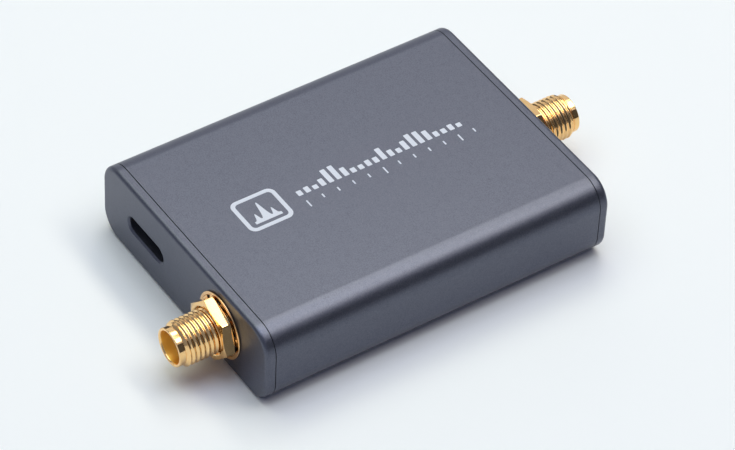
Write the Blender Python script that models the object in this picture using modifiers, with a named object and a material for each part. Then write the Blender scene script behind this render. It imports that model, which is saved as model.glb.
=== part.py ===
"""Compact USB-C spectrum analyzer in a screwless extruded aluminium case.

The case lies flat on Z = 0 and its long side runs along Y. The front panel, with the USB-C
opening and the input jack, faces -Y. The rear panel, with the second jack, faces +Y. The origin
is the middle of the case's underside. Lengths are in metres.

A circuit board slides in card slots inside the sleeve. A coaxial jack is soldered to each end of
it. Each jack's square flange sits behind an end cap, and a lock washer and a hex nut in front of
the cap clamp it to the sleeve.
"""

import math

import bmesh
import bpy
from mathutils import Matrix, Vector

MM = 0.001

# Case
CASE_WIDTH = 40.2 * MM
CASE_LENGTH = 54.0 * MM
CASE_HEIGHT = 12.2 * MM
CASE_CORNER = 3.6 * MM
WALL = 1.4 * MM
CAP_THICKNESS = 1.4 * MM
CAP_EDGE = 0.6 * MM
SEAM_GAP = 0.15 * MM
REST_GAP = 0.3 * MM

# Coaxial jacks, with a 1/4-36 thread
PITCH = 25.4 / 36 * MM
THREAD_RADIUS = 25.4 / 8 * MM
FRONT_PROTRUSION = 7.85 * MM
REAR_PROTRUSION = 8.05 * MM
LIP_RADIUS = 2.74 * MM
LIP_LENGTH = 0.95 * MM
MOUTH_RADIUS = 2.32 * MM
MOUTH_DEPTH = 1.98 * MM
INSULATOR_BORE = 2.1 * MM
CONTACT_RADIUS = 0.635 * MM
SOCKET_RADIUS = 0.47 * MM
PIN_RADIUS = 0.4 * MM
FLANGE = (9.5 * MM, 1.9 * MM, 8.0 * MM)
LEG = 1.0 * MM
LEG_LENGTH = 3.6 * MM
FRONT_JACK_X = 9.3 * MM
REAR_JACK_X = 0.0
AXIS_Z = CASE_HEIGHT / 2

# Washer and nut, measured outwards from the panel
WASHER_RADIUS = 4.78 * MM
WASHER_ROOT_RADIUS = 4.3 * MM
WASHER_START = 0.05 * MM
WASHER_THICKNESS = 0.3 * MM
WASHER_TEETH = 10
NUT_START = 0.5 * MM
NUT_END = 2.1 * MM
NUT_FLATS = 7.94 * MM
NUT_CLEARANCE = 0.2 * MM
NUT_FRONT_CHAMFER = 0.28 * MM
NUT_BACK_CHAMFER = 0.16 * MM
FRONT_NUT_TURN = math.radians(45.6)
REAR_NUT_TURN = math.radians(5.3)

# USB-C receptacle
USB_X = -9.3 * MM
USB_Z = 5.8 * MM
USB_SLOT = (9.1 * MM, 3.0 * MM)
USB_SHELL = (8.94 * MM, 7.3 * MM, 3.26 * MM)
USB_SHELL_WALL = 0.3 * MM
USB_TONGUE = (6.7 * MM, 4.6 * MM, 0.7 * MM)

# Circuit board and the card slots that hold it
BOARD_THICKNESS = 1.6 * MM
BOARD_TOP = AXIS_Z - PIN_RADIUS - REST_GAP
SLOT_CLEARANCE = 0.2 * MM
SLOT_DEPTH = 1.2 * MM
RAIL_THICKNESS = 0.9 * MM
SOLDER_GAP = 0.1 * MM

# Values that follow from those above
PANEL_Y = CASE_LENGTH / 2
CAP_BACK_Y = PANEL_Y - CAP_THICKNESS
SLEEVE_LENGTH = 2 * (CAP_BACK_Y - SEAM_GAP)
CAVITY_HALF = CASE_WIDTH / 2 - WALL
RAIL_X = CAVITY_HALF - SLOT_DEPTH
FLANGE_FACE_Y = CAP_BACK_Y - REST_GAP
BOARD_END_Y = FLANGE_FACE_Y - FLANGE[1] - REST_GAP
BOARD_HALF_WIDTH = CAVITY_HALF - REST_GAP
CAP_HOLE_RADIUS = THREAD_RADIUS + REST_GAP

ROUND_STEPS = 48
CORNER_STEPS = 8
OBJECT_NAME = "usb_spectrum_analyzer"

FINISHES = {
    "anodised_aluminium": ((0.115, 0.120, 0.145), 1.0, 0.42),
    "gold_plate": ((0.93, 0.66, 0.26), 1.0, 0.16),
    "fluoropolymer": ((0.90, 0.89, 0.86), 0.0, 0.50),
    "stainless_shell": ((0.62, 0.62, 0.63), 1.0, 0.30),
    "black_moulding": ((0.03, 0.03, 0.03), 0.0, 0.50),
    "board_laminate": ((0.02, 0.10, 0.045), 0.0, 0.40),
    "tinned_steel": ((0.70, 0.70, 0.68), 1.0, 0.32),
    "chip_resin": ((0.035, 0.035, 0.038), 0.0, 0.60),
    "component_can": ((0.72, 0.70, 0.62), 1.0, 0.28),
    "component_ceramic": ((0.50, 0.38, 0.24), 0.0, 0.55),
    "ferrite": ((0.10, 0.10, 0.11), 0.0, 0.65),
}


def clear_scene():
    for obj in list(bpy.data.objects):
        bpy.data.objects.remove(obj)


def new_collection(name):
    collection = bpy.data.collections.new(name)
    bpy.context.scene.collection.children.link(collection)
    return collection


def new_material(name):
    color, metallic, roughness = FINISHES[name]
    material = bpy.data.materials.new(name)
    material.use_nodes = True
    shader = material.node_tree.nodes["Principled BSDF"]
    shader.inputs["Base Color"].default_value = (*color, 1.0)
    shader.inputs["Metallic"].default_value = metallic
    shader.inputs["Roughness"].default_value = roughness
    return material


class Workshop:
    """Holds the two collections and the materials, and adds finished pieces to them."""

    def __init__(self):
        self.parts = new_collection(OBJECT_NAME)
        self.cutters = new_collection("cutters")
        self.materials = {name: new_material(name) for name in FINISHES}

    def piece(self, obj, finish):
        self.parts.objects.link(obj)
        obj.data.materials.append(self.materials[finish])
        obj.data.shade_smooth()
        obj.data.set_sharp_from_angle(angle=math.radians(35))
        return obj

    def tool(self, obj):
        self.cutters.objects.link(obj)
        obj.hide_render = True
        obj.display_type = "WIRE"
        return obj

    def combine(self, target, tool, operation):
        """Cuts the tool from the target, joins it on, or keeps what both share."""
        modifier = target.modifiers.new(tool.name, "BOOLEAN")
        modifier.operation = operation
        modifier.solver = "EXACT"
        modifier.object = self.tool(tool)


def box(name, size, centre, bevel=0.0):
    """A cuboid with its corners at centre +- size / 2, its edges rounded by bevel."""
    mesh = bpy.data.meshes.new(name)
    shape = bmesh.new()
    bmesh.ops.create_cube(shape, size=1.0)
    bmesh.ops.scale(shape, vec=size, verts=shape.verts)
    shape.to_mesh(mesh)
    shape.free()
    obj = bpy.data.objects.new(name, mesh)
    obj.location = centre
    if bevel:
        rounding = obj.modifiers.new("rounded_edges", "BEVEL")
        rounding.width = bevel
        rounding.segments = 2
    return obj


def outward_matrix(x, y_panel, side):
    """Maps local X, Y, Z to world X, Z and outwards from the panel (side -1 front, +1 rear)."""
    across = Vector((1.0, 0.0, 0.0))
    up = Vector((0.0, 0.0, 1.0))
    outward = Vector((0.0, side, 0.0))
    across = across if side < 0 else -across
    turn = Matrix((across, up, outward)).transposed().to_4x4()
    return Matrix.Translation((x, y_panel, AXIS_Z)) @ turn


def turned(name, profile, matrix):
    """A body turned about local Z. The profile's (radius, height) points run down its outer side."""
    mesh = bpy.data.meshes.new(name)
    points = [(radius, 0.0, height) for radius, height in profile]
    ends = [(i, i + 1) for i in range(len(points) - 1)]
    closed = profile[0][0] > 0.0
    if closed:
        ends.append((len(points) - 1, 0))
    mesh.from_pydata(points, ends, [])
    obj = bpy.data.objects.new(name, mesh)
    obj.matrix_world = matrix
    screw = obj.modifiers.new("turned", "SCREW")
    screw.axis = "Z"
    screw.steps = ROUND_STEPS
    screw.render_steps = ROUND_STEPS
    screw.use_merge_vertices = True
    screw.merge_threshold = 0.01 * MM
    screw.use_normal_calculate = False
    return obj


def rounded_rectangle(width, height, radius, centre=(0.0, 0.0)):
    """Anticlockwise outline with round corners."""
    outline = []
    for corner in range(4):
        start = corner * math.pi / 2
        sign_x = 1 if corner in (0, 3) else -1
        sign_y = 1 if corner in (0, 1) else -1
        middle_x = centre[0] + sign_x * (width / 2 - radius)
        middle_y = centre[1] + sign_y * (height / 2 - radius)
        for step in range(CORNER_STEPS + 1):
            angle = start + step / CORNER_STEPS * math.pi / 2
            x = middle_x + radius * math.cos(angle)
            outline.append((x, middle_y + radius * math.sin(angle)))
    return outline


def extruded(name, outlines, thickness, matrix):
    """A plate with the first outline and holes by the others, local Z 0 to its thickness."""
    curve = bpy.data.curves.new(name, "CURVE")
    curve.dimensions = "2D"
    curve.fill_mode = "BOTH"
    curve.extrude = thickness / 2
    for outline in outlines:
        spline = curve.splines.new("POLY")
        spline.points.add(len(outline) - 1)
        spline.use_cyclic_u = True
        for point, (x, y) in zip(spline.points, outline):
            point.co = (x, y, 0.0, 1.0)
    guide = bpy.data.objects.new(name + "_outline", curve)
    guide.matrix_world = matrix @ Matrix.Translation((0.0, 0.0, thickness / 2))
    bpy.context.scene.collection.objects.link(guide)
    bpy.context.view_layer.update()
    evaluated = guide.evaluated_get(bpy.context.evaluated_depsgraph_get())
    mesh = bpy.data.meshes.new_from_object(evaluated)
    mesh.name = name
    shape = bmesh.new()
    shape.from_mesh(mesh)
    bmesh.ops.remove_doubles(shape, verts=shape.verts, dist=0.001 * MM)
    shape.to_mesh(mesh)
    shape.free()
    obj = bpy.data.objects.new(name, mesh)
    obj.matrix_world = guide.matrix_world.copy()
    bpy.data.objects.remove(guide)
    return obj


def cavity_outline():
    """The sleeve's inside: a step under each card slot, a rail above it, round top corners."""
    slot_low = BOARD_TOP - BOARD_THICKNESS - SLOT_CLEARANCE
    slot_high = BOARD_TOP + SLOT_CLEARANCE
    radius = CASE_CORNER - WALL
    ceiling = CASE_HEIGHT - WALL
    right = [
        (RAIL_X, WALL),
        (RAIL_X, slot_low),
        (CAVITY_HALF, slot_low),
        (CAVITY_HALF, slot_high),
        (RAIL_X, slot_high),
        (RAIL_X, slot_high + RAIL_THICKNESS),
        (CAVITY_HALF, slot_high + RAIL_THICKNESS),
    ]
    for step in range(CORNER_STEPS + 1):
        angle = step / CORNER_STEPS * math.pi / 2
        x = CAVITY_HALF - radius + radius * math.cos(angle)
        right.append((x, ceiling - radius + radius * math.sin(angle)))
    left = [(-x, z) for x, z in reversed(right)]
    return right + left


def make_sleeve(shop):
    end_y = -SLEEVE_LENGTH / 2
    flip = Matrix.Translation((0.0, end_y + SLEEVE_LENGTH, 0.0)) @ Matrix.Rotation(math.pi / 2, 4, "X")
    outside = rounded_rectangle(CASE_WIDTH, CASE_HEIGHT, CASE_CORNER, (0.0, CASE_HEIGHT / 2))
    sleeve = extruded("case_sleeve", [outside, cavity_outline()], SLEEVE_LENGTH, flip)
    shop.piece(sleeve, "anodised_aluminium")


def cap_plate(name, side):
    """The cap's plate, with its outer edge rounded over."""
    mesh = bpy.data.meshes.new(name)
    shape = bmesh.new()
    outline = rounded_rectangle(CASE_WIDTH, CASE_HEIGHT, CASE_CORNER)
    base = shape.faces.new([shape.verts.new((x, y, -CAP_THICKNESS)) for x, y in outline])
    grown = bmesh.ops.extrude_face_region(shape, geom=[base])
    front = [item for item in grown["geom"] if isinstance(item, bmesh.types.BMVert)]
    bmesh.ops.translate(shape, vec=(0.0, 0.0, CAP_THICKNESS), verts=front)
    rim = [edge for edge in shape.edges if all(vert in front for vert in edge.verts)]
    bmesh.ops.bevel(shape, geom=rim, offset=CAP_EDGE, segments=4, profile=0.5, affect="EDGES")
    bmesh.ops.recalc_face_normals(shape, faces=shape.faces)
    shape.to_mesh(mesh)
    shape.free()
    obj = bpy.data.objects.new(name, mesh)
    obj.matrix_world = outward_matrix(0.0, side * PANEL_Y, side)
    return obj


def add_locating_tabs(shop, cap, side):
    """Four small tabs on the cap's back that centre it in the sleeve."""
    tab = Vector((2.4, 2.0, 1.5)) * MM
    reach = side * (CAP_BACK_Y - tab.y / 2 + REST_GAP)
    top_z = CASE_HEIGHT - WALL - REST_GAP - tab.z / 2
    bottom_z = WALL + REST_GAP + tab.z / 2
    for label, x in (("left", -15.6 * MM), ("right", 15.6 * MM)):
        for level, z in (("top", top_z), ("bottom", bottom_z)):
            block = box(f"{cap.name}_{level}_{label}_tab", tab, (x, reach, z))
            shop.combine(cap, block, "UNION")


def cut_jack_hole(shop, cap, jack_x, side):
    through = CAP_THICKNESS + 2 * MM
    matrix = outward_matrix(jack_x, side * (PANEL_Y - CAP_THICKNESS / 2), side)
    radius = CAP_HOLE_RADIUS
    profile = [(0.0, through / 2), (radius, through / 2), (radius, -through / 2), (0.0, -through / 2)]
    shop.combine(cap, turned(f"{cap.name}_jack_hole", profile, matrix), "DIFFERENCE")


def cut_usb_opening(shop, cap):
    width, height = USB_SLOT
    through = CAP_THICKNESS + 2 * MM
    matrix = outward_matrix(0.0, -PANEL_Y + CAP_THICKNESS + 1 * MM, -1)
    outline = rounded_rectangle(width, height, height / 2 - 0.01 * MM, (USB_X, USB_Z - AXIS_Z))
    cutter = extruded("usb_opening", [outline], through, matrix)
    shop.combine(cap, cutter, "DIFFERENCE")


def make_caps(shop):
    front = shop.piece(cap_plate("front_cap", -1), "anodised_aluminium")
    add_locating_tabs(shop, front, -1)
    cut_jack_hole(shop, front, FRONT_JACK_X, -1)
    cut_usb_opening(shop, front)
    rear = shop.piece(cap_plate("rear_cap", 1), "anodised_aluminium")
    add_locating_tabs(shop, rear, 1)
    cut_jack_hole(shop, rear, REAR_JACK_X, 1)


def make_jack_body(shop, end, jack_x, side, mouth):
    """Threaded barrel, square flange and four legs that straddle the board."""
    matrix = outward_matrix(jack_x, side * PANEL_Y, side)
    flange_back = -(PANEL_Y - FLANGE_FACE_Y) - FLANGE[1]
    inside_flange = flange_back + FLANGE[1] / 2
    shoulder = mouth - LIP_LENGTH - (THREAD_RADIUS - LIP_RADIUS)
    edge = 0.12 * MM
    barrel = [
        (0.0, mouth),
        (LIP_RADIUS - edge, mouth),
        (LIP_RADIUS, mouth - edge),
        (LIP_RADIUS, mouth - LIP_LENGTH),
        (THREAD_RADIUS, shoulder),
        (THREAD_RADIUS, inside_flange),
        (0.0, inside_flange),
    ]
    jack = shop.piece(turned(f"{end}_jack_body", barrel, matrix), "gold_plate")
    flange_y = side * (FLANGE_FACE_Y - FLANGE[1] / 2)
    flange = box(f"{end}_jack_flange", FLANGE, (jack_x, flange_y, AXIS_Z))
    shop.combine(jack, flange, "UNION")
    add_jack_legs(shop, jack, end, jack_x, side)
    past = flange_back - 1 * MM
    bore = [
        (0.0, mouth + 1 * MM),
        (MOUTH_RADIUS, mouth + 1 * MM),
        (MOUTH_RADIUS, mouth - MOUTH_DEPTH),
        (INSULATOR_BORE, mouth - MOUTH_DEPTH),
        (INSULATOR_BORE, past),
        (0.0, past),
    ]
    shop.combine(jack, turned(f"{end}_jack_bore", bore, matrix), "DIFFERENCE")


def add_jack_legs(shop, jack, end, jack_x, side):
    overlap = 0.5 * MM
    length = LEG_LENGTH + overlap
    leg_y = side * (FLANGE_FACE_Y - FLANGE[1] + overlap - length / 2)
    above = BOARD_TOP + SLOT_CLEARANCE + LEG / 2
    below = BOARD_TOP - BOARD_THICKNESS - SLOT_CLEARANCE - LEG / 2
    inset = FLANGE[0] / 2 - LEG / 2 - 0.05 * MM
    for label, x in (("left", jack_x - inset), ("right", jack_x + inset)):
        for level, z in (("top", above), ("bottom", below)):
            leg = box(f"{end}_jack_{level}_{label}_leg", (LEG, length, LEG), (x, leg_y, z))
            shop.combine(jack, leg, "UNION")


def make_jack_core(shop, end, jack_x, side, mouth):
    """The insulating bead and the centre contact, both flush at the bottom of the mouth."""
    matrix = outward_matrix(jack_x, side * PANEL_Y, side)
    clearance = 0.2 * MM
    face = mouth - MOUTH_DEPTH
    flange_back = -(PANEL_Y - FLANGE_FACE_Y) - FLANGE[1]
    outer = INSULATOR_BORE - clearance
    inner = CONTACT_RADIUS + clearance
    bead = [(inner, face), (outer, face), (outer, flange_back), (inner, flange_back)]
    shop.piece(turned(f"{end}_jack_insulator", bead, matrix), "fluoropolymer")
    socket_bottom = face - 2.6 * MM
    pin_end = flange_back - 2.6 * MM
    contact = [
        (0.0, socket_bottom),
        (SOCKET_RADIUS, socket_bottom),
        (SOCKET_RADIUS, face),
        (CONTACT_RADIUS, face),
        (CONTACT_RADIUS, flange_back + 0.2 * MM),
        (PIN_RADIUS, flange_back + 0.2 * MM),
        (PIN_RADIUS, pin_end),
        (0.0, pin_end),
    ]
    shop.piece(turned(f"{end}_jack_contact", contact, matrix), "gold_plate")


def circle(radius, steps=ROUND_STEPS):
    angles = [step / steps * math.tau for step in range(steps)]
    return [(radius * math.cos(angle), radius * math.sin(angle)) for angle in angles]


def toothed_hole(tip_radius, root_radius, teeth):
    """A washer's toothed inner edge: each tooth is narrower at its tip than at its root."""
    outline = []
    for tooth in range(teeth):
        middle = tooth / teeth * math.tau
        half = math.pi / teeth
        for share, radius in ((-0.62, root_radius), (-0.40, tip_radius), (0.40, tip_radius), (0.62, root_radius)):
            angle = middle + share * half
            outline.append((radius * math.cos(angle), radius * math.sin(angle)))
    return outline


def make_washer(shop, end, jack_x, side):
    matrix = outward_matrix(jack_x, side * (PANEL_Y + WASHER_START), side)
    hole = toothed_hole(THREAD_RADIUS + NUT_CLEARANCE, WASHER_ROOT_RADIUS, WASHER_TEETH)
    outlines = [circle(WASHER_RADIUS), hole]
    washer = extruded(f"{end}_lock_washer", outlines, WASHER_THICKNESS, matrix)
    shop.piece(washer, "gold_plate")


def make_nut(shop, end, jack_x, side, turn):
    """A hex nut whose corners are chamfered on both faces."""
    matrix = outward_matrix(jack_x, side * (PANEL_Y + NUT_START), side)
    height = NUT_END - NUT_START
    corner = NUT_FLATS / math.sqrt(3)
    local_turn = turn if side < 0 else math.pi - turn
    hexagon = []
    for side_number in range(6):
        angle = local_turn + side_number * math.pi / 3
        hexagon.append((corner * math.cos(angle), corner * math.sin(angle)))
    outlines = [hexagon, circle(THREAD_RADIUS + NUT_CLEARANCE)]
    nut = shop.piece(extruded(f"{end}_hex_nut", outlines, height, matrix), "gold_plate")
    face_radius = NUT_FLATS / 2 - 0.05 * MM
    room = 1 * MM
    envelope = [
        (0.0, height + room),
        (face_radius, height + room),
        (face_radius, height),
        (corner + 0.05 * MM, height - NUT_FRONT_CHAMFER),
        (corner + 0.05 * MM, NUT_BACK_CHAMFER),
        (face_radius, 0.0),
        (face_radius, -room),
        (0.0, -room),
    ]
    shop.combine(nut, turned(f"{end}_nut_chamfer", envelope, matrix), "INTERSECT")


def make_jacks(shop):
    for end, jack_x, side, mouth, turn in (
        ("front", FRONT_JACK_X, -1, FRONT_PROTRUSION, FRONT_NUT_TURN),
        ("rear", REAR_JACK_X, 1, REAR_PROTRUSION, REAR_NUT_TURN),
    ):
        make_jack_body(shop, end, jack_x, side, mouth)
        make_jack_core(shop, end, jack_x, side, mouth)
        make_washer(shop, end, jack_x, side)
        make_nut(shop, end, jack_x, side, turn)


def make_usb_receptacle(shop):
    """A drawn steel shell around a moulding that carries the contact tongue."""
    width, length, height = USB_SHELL
    mouth_y = -FLANGE_FACE_Y
    matrix = outward_matrix(0.0, mouth_y + length, -1)
    centre = (USB_X, USB_Z - AXIS_Z)
    wall = USB_SHELL_WALL
    outside = rounded_rectangle(width, height, 1.25 * MM, centre)
    inside = rounded_rectangle(width - 2 * wall, height - 2 * wall, 1.25 * MM - wall, centre)
    shell = extruded("usb_shell", [outside, inside], length, matrix)
    shop.piece(shell, "stainless_shell")
    block_length = 1.6 * MM
    gap = wall + 0.15 * MM
    block_size = (width - 2 * gap - 1 * MM, block_length, height - 2 * gap)
    block_y = mouth_y + length - block_length / 2
    moulding = box("usb_moulding", block_size, (USB_X, block_y, USB_Z), bevel=0.2 * MM)
    shop.piece(moulding, "black_moulding")
    overlap = 0.4 * MM
    tongue_length = USB_TONGUE[1] + overlap
    tongue_y = block_y - block_length / 2 + overlap - tongue_length / 2
    tongue_size = (USB_TONGUE[0], tongue_length, USB_TONGUE[2])
    tongue = box("usb_tongue", tongue_size, (USB_X, tongue_y, USB_Z))
    shop.combine(moulding, tongue, "UNION")


def make_board(shop):
    """The circuit board, notched at its front edge for the USB receptacle."""
    notch_left = USB_X - USB_SHELL[0] / 2 - REST_GAP
    notch_right = USB_X + USB_SHELL[0] / 2 + REST_GAP
    notch_back = -FLANGE_FACE_Y + USB_SHELL[1] + REST_GAP
    outline = [
        (-BOARD_HALF_WIDTH, -BOARD_END_Y),
        (notch_left, -BOARD_END_Y),
        (notch_left, notch_back),
        (notch_right, notch_back),
        (notch_right, -BOARD_END_Y),
        (BOARD_HALF_WIDTH, -BOARD_END_Y),
        (BOARD_HALF_WIDTH, BOARD_END_Y),
        (-BOARD_HALF_WIDTH, BOARD_END_Y),
    ]
    matrix = Matrix.Translation((0.0, 0.0, BOARD_TOP - BOARD_THICKNESS))
    board = extruded("main_board", [outline], BOARD_THICKNESS, matrix)
    shop.piece(board, "board_laminate")


def make_shield(shop):
    """A fence soldered round the radio section and the lid that clips over it."""
    width, length, height, wall = 17.0 * MM, 20.0 * MM, 2.4 * MM, 0.25 * MM
    centre = (8.3 * MM, -5.6 * MM)
    outside = rounded_rectangle(width, length, 0.6 * MM, centre)
    inside = rounded_rectangle(width - 2 * wall, length - 2 * wall, 0.6 * MM - wall, centre)
    base_z = BOARD_TOP + SOLDER_GAP
    fence = extruded("shield_fence", [outside, inside], height, Matrix.Translation((0.0, 0.0, base_z)))
    shop.piece(fence, "tinned_steel")
    make_shield_lid(shop, (width, length), centre, base_z + height)


def make_shield_lid(shop, fence_size, centre, fence_top):
    """A drawn lid: a cuboid without its underside, thickened inwards."""
    sheet = 0.2 * MM
    skirt = 1.2 * MM
    gap = 0.1 * MM
    size = (fence_size[0] + 2 * (gap + sheet), fence_size[1] + 2 * (gap + sheet), skirt)
    middle_z = fence_top + gap + sheet - skirt / 2
    lid = box("shield_lid", size, (centre[0], centre[1], middle_z))
    shape = bmesh.new()
    shape.from_mesh(lid.data)
    underside = min(shape.faces, key=lambda face: face.calc_center_median().z)
    bmesh.ops.delete(shape, geom=[underside], context="FACES_ONLY")
    shape.to_mesh(lid.data)
    shape.free()
    thicken = lid.modifiers.new("sheet", "SOLIDIFY")
    thicken.thickness = sheet
    thicken.offset = -1.0
    thicken.use_even_offset = True
    shop.piece(lid, "tinned_steel")


def component(shop, name, size_mm, at_mm, finish, bevel_mm=0.12):
    """A surface-mounted part, standing on its solder at (x, y) on the board's upper side."""
    size = Vector(size_mm) * MM
    middle = (at_mm[0] * MM, at_mm[1] * MM, BOARD_TOP + SOLDER_GAP + size.z / 2)
    shop.piece(box(name, size, middle, bevel=bevel_mm * MM), finish)


def make_radio_section(shop):
    """The parts under the shield, in signal order, and the two ports' coupling capacitors."""
    component(shop, "input_coupling_capacitor", (0.9, 1.6, 0.8), (9.3, -17.4), "component_ceramic")
    component(shop, "input_attenuator", (4.0, 4.0, 0.9), (9.3, -12.4), "chip_resin")
    component(shop, "first_mixer", (4.0, 4.0, 0.9), (9.3, -6.6), "chip_resin")
    component(shop, "synthesizer_chip", (5.0, 5.0, 0.9), (3.4, -6.6), "chip_resin")
    component(shop, "intermediate_filter", (5.0, 5.0, 1.4), (11.8, -0.2), "component_can")
    component(shop, "intermediate_amplifier", (3.0, 3.0, 0.9), (5.2, 0.0), "chip_resin")
    component(shop, "reference_oscillator", (3.2, 2.5, 1.0), (8.6, 9.0), "component_can")
    component(shop, "output_filter", (2.0, 3.2, 0.9), (4.4, 12.6), "component_ceramic")
    component(shop, "output_amplifier", (3.0, 3.0, 0.9), (0.0, 13.6), "chip_resin")
    component(shop, "output_coupling_capacitor", (0.9, 1.6, 0.8), (0.0, 17.4), "component_ceramic")


def make_digital_section(shop):
    """The converter, processor and their supply, beside the USB receptacle."""
    component(shop, "usb_protection_chip", (2.0, 2.0, 0.8), (-9.3, -14.9), "chip_resin")
    component(shop, "power_inductor", (4.0, 4.0, 2.0), (-14.4, -12.4), "ferrite", 0.3)
    component(shop, "regulator_chip", (3.0, 3.0, 0.9), (-14.4, -7.4), "chip_resin")
    component(shop, "bulk_capacitor", (1.6, 3.2, 1.6), (-5.6, -13.6), "component_ceramic")
    component(shop, "converter_chip", (5.0, 5.0, 0.9), (-7.4, -6.2), "chip_resin")
    component(shop, "processor_chip", (10.0, 10.0, 1.0), (-9.2, 4.0), "chip_resin")
    component(shop, "processor_crystal", (3.2, 2.5, 0.8), (-9.2, 12.4), "component_can")
    component(shop, "flash_chip", (5.0, 4.0, 1.2), (-12.4, 17.4), "chip_resin")
    component(shop, "supply_bead", (0.9, 1.6, 0.8), (-14.4, -3.8), "ferrite")


def main():
    clear_scene()
    shop = Workshop()
    make_sleeve(shop)
    make_caps(shop)
    make_jacks(shop)
    make_usb_receptacle(shop)
    make_board(shop)
    make_shield(shop)
    make_radio_section(shop)
    make_digital_section(shop)


main()
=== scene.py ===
"""Looks of the compact USB-C spectrum analyzer: fine surfaces, materials, light and camera.

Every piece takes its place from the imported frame. Lengths are in metres, +Z is up, and the front
panel, with the USB-C opening and the input jack, faces -Y.
"""

import math

import bmesh
import bpy
from mathutils import Matrix, Vector


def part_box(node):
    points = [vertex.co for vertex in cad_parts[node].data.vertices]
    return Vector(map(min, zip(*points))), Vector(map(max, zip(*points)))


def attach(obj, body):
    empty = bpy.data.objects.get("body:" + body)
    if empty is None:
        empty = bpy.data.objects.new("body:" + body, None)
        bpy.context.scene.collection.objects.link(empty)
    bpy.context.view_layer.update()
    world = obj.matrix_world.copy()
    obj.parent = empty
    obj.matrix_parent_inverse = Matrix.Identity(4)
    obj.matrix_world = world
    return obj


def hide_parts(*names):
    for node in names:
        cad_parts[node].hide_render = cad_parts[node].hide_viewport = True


MM = 0.001

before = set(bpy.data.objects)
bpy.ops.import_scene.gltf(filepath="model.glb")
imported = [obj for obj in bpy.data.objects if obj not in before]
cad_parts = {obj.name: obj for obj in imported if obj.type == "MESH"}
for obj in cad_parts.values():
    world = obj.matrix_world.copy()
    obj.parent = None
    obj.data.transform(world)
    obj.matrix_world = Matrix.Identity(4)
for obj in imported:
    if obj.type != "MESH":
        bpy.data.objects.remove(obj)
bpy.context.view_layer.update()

# Case
SLEEVE_LOW, SLEEVE_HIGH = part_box("case_sleeve")
CASE_WIDTH = SLEEVE_HIGH.x - SLEEVE_LOW.x
CASE_HEIGHT = SLEEVE_HIGH.z - SLEEVE_LOW.z
PANEL_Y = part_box("rear_cap")[1].y
CASE_CORNER = 3.6 * MM
WALL = 1.4 * MM
CAP_THICKNESS = 1.4 * MM
CAP_EDGE = 0.6 * MM
SEAM = 0.11 * MM
BROKEN_EDGE = 0.02 * MM
REST_GAP = 0.3 * MM

# Circuit board
BOARD_LOW, BOARD_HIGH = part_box("main_board")
BOARD_TOP = BOARD_HIGH.z

# Coaxial jacks, with a 1/4-36 thread
PITCH = 25.4 / 36 * MM
THREAD_RADIUS = 25.4 / 8 * MM
THREAD_DEPTH = 0.21 * MM
LIP_RADIUS = 2.74 * MM
LIP_LENGTH = 0.95 * MM
MOUTH_RADIUS = 2.32 * MM
MOUTH_DEPTH = 1.98 * MM
INSULATOR_BORE = 2.1 * MM
CONTACT_RADIUS = 0.635 * MM
SOCKET_RADIUS = 0.47 * MM
PIN_RADIUS = 0.4 * MM
FLANGE_THICKNESS = 1.9 * MM
LEG = 1.0 * MM
LEG_LENGTH = 3.6 * MM

# Lock washers and nuts
TEETH = 10
TOOTH_PHASE = math.radians(4)
NUT_FLATS = 7.94 * MM

# USB-C receptacle: its shell's two springs, either side of the middle
SPRING_OFFSET = 1.9 * MM

# Studio
BACKDROP = (0.86, 0.90, 0.91, 1.0)
LIGHT_DISTANCE = 0.9
CAMERA_AZIMUTH = math.radians(54.08)
CAMERA_ELEVATION = math.radians(44.17)
CAMERA_ROLL = math.radians(2.98)
CAMERA_DISTANCE = 525.1 * MM
CAMERA_OFFSET = (1.875 * MM, 1.819 * MM)
CAMERA_LENS = 191.6


# ---------------------------------------------------------------- mesh helpers


def rounded_rectangle(width, height, radius, centre=(0.0, 0.0), steps=24):
    """Anticlockwise outline with round corners."""
    outline = []
    for corner in range(4):
        sign_x = 1 if corner in (0, 3) else -1
        sign_y = 1 if corner in (0, 1) else -1
        middle_x = centre[0] + sign_x * (width / 2 - radius)
        middle_y = centre[1] + sign_y * (height / 2 - radius)
        for step in range(steps + 1):
            angle = (corner + step / steps) * math.pi / 2
            x = middle_x + radius * math.cos(angle)
            outline.append((x, middle_y + radius * math.sin(angle)))
    return outline


def turns(steps, start=0.0):
    """Angles evenly spaced round a full turn."""
    return [step / steps * math.tau + start for step in range(steps)]


def polar(radius, angle, height):
    """A point at a radius and an angle about local Z."""
    return (radius * math.cos(angle), radius * math.sin(angle), height)


def circle(radius, steps=96, centre=(0.0, 0.0)):
    """Anticlockwise points round a circle."""
    points = [polar(radius, a, 0.0) for a in turns(steps)]
    return [(centre[0] + x, centre[1] + y) for x, y, _ in points]


def link(name, mesh, matrix=None):
    """Puts a mesh in the scene, moved by the matrix if there is one."""
    obj = bpy.data.objects.new(name, mesh)
    bpy.context.scene.collection.objects.link(obj)
    if matrix is not None:
        mesh.transform(matrix)
    return obj


def from_bmesh(name, shape, matrix=None):
    """Turns an editable mesh into an object and frees it."""
    mesh = bpy.data.meshes.new(name)
    shape.to_mesh(mesh)
    shape.free()
    return link(name, mesh, matrix)


def evaluated_mesh(obj):
    """The object's mesh with its modifiers or curve settings applied."""
    bpy.context.view_layer.update()
    graph = bpy.context.evaluated_depsgraph_get()
    return bpy.data.meshes.new_from_object(obj.evaluated_get(graph), depsgraph=graph)


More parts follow.
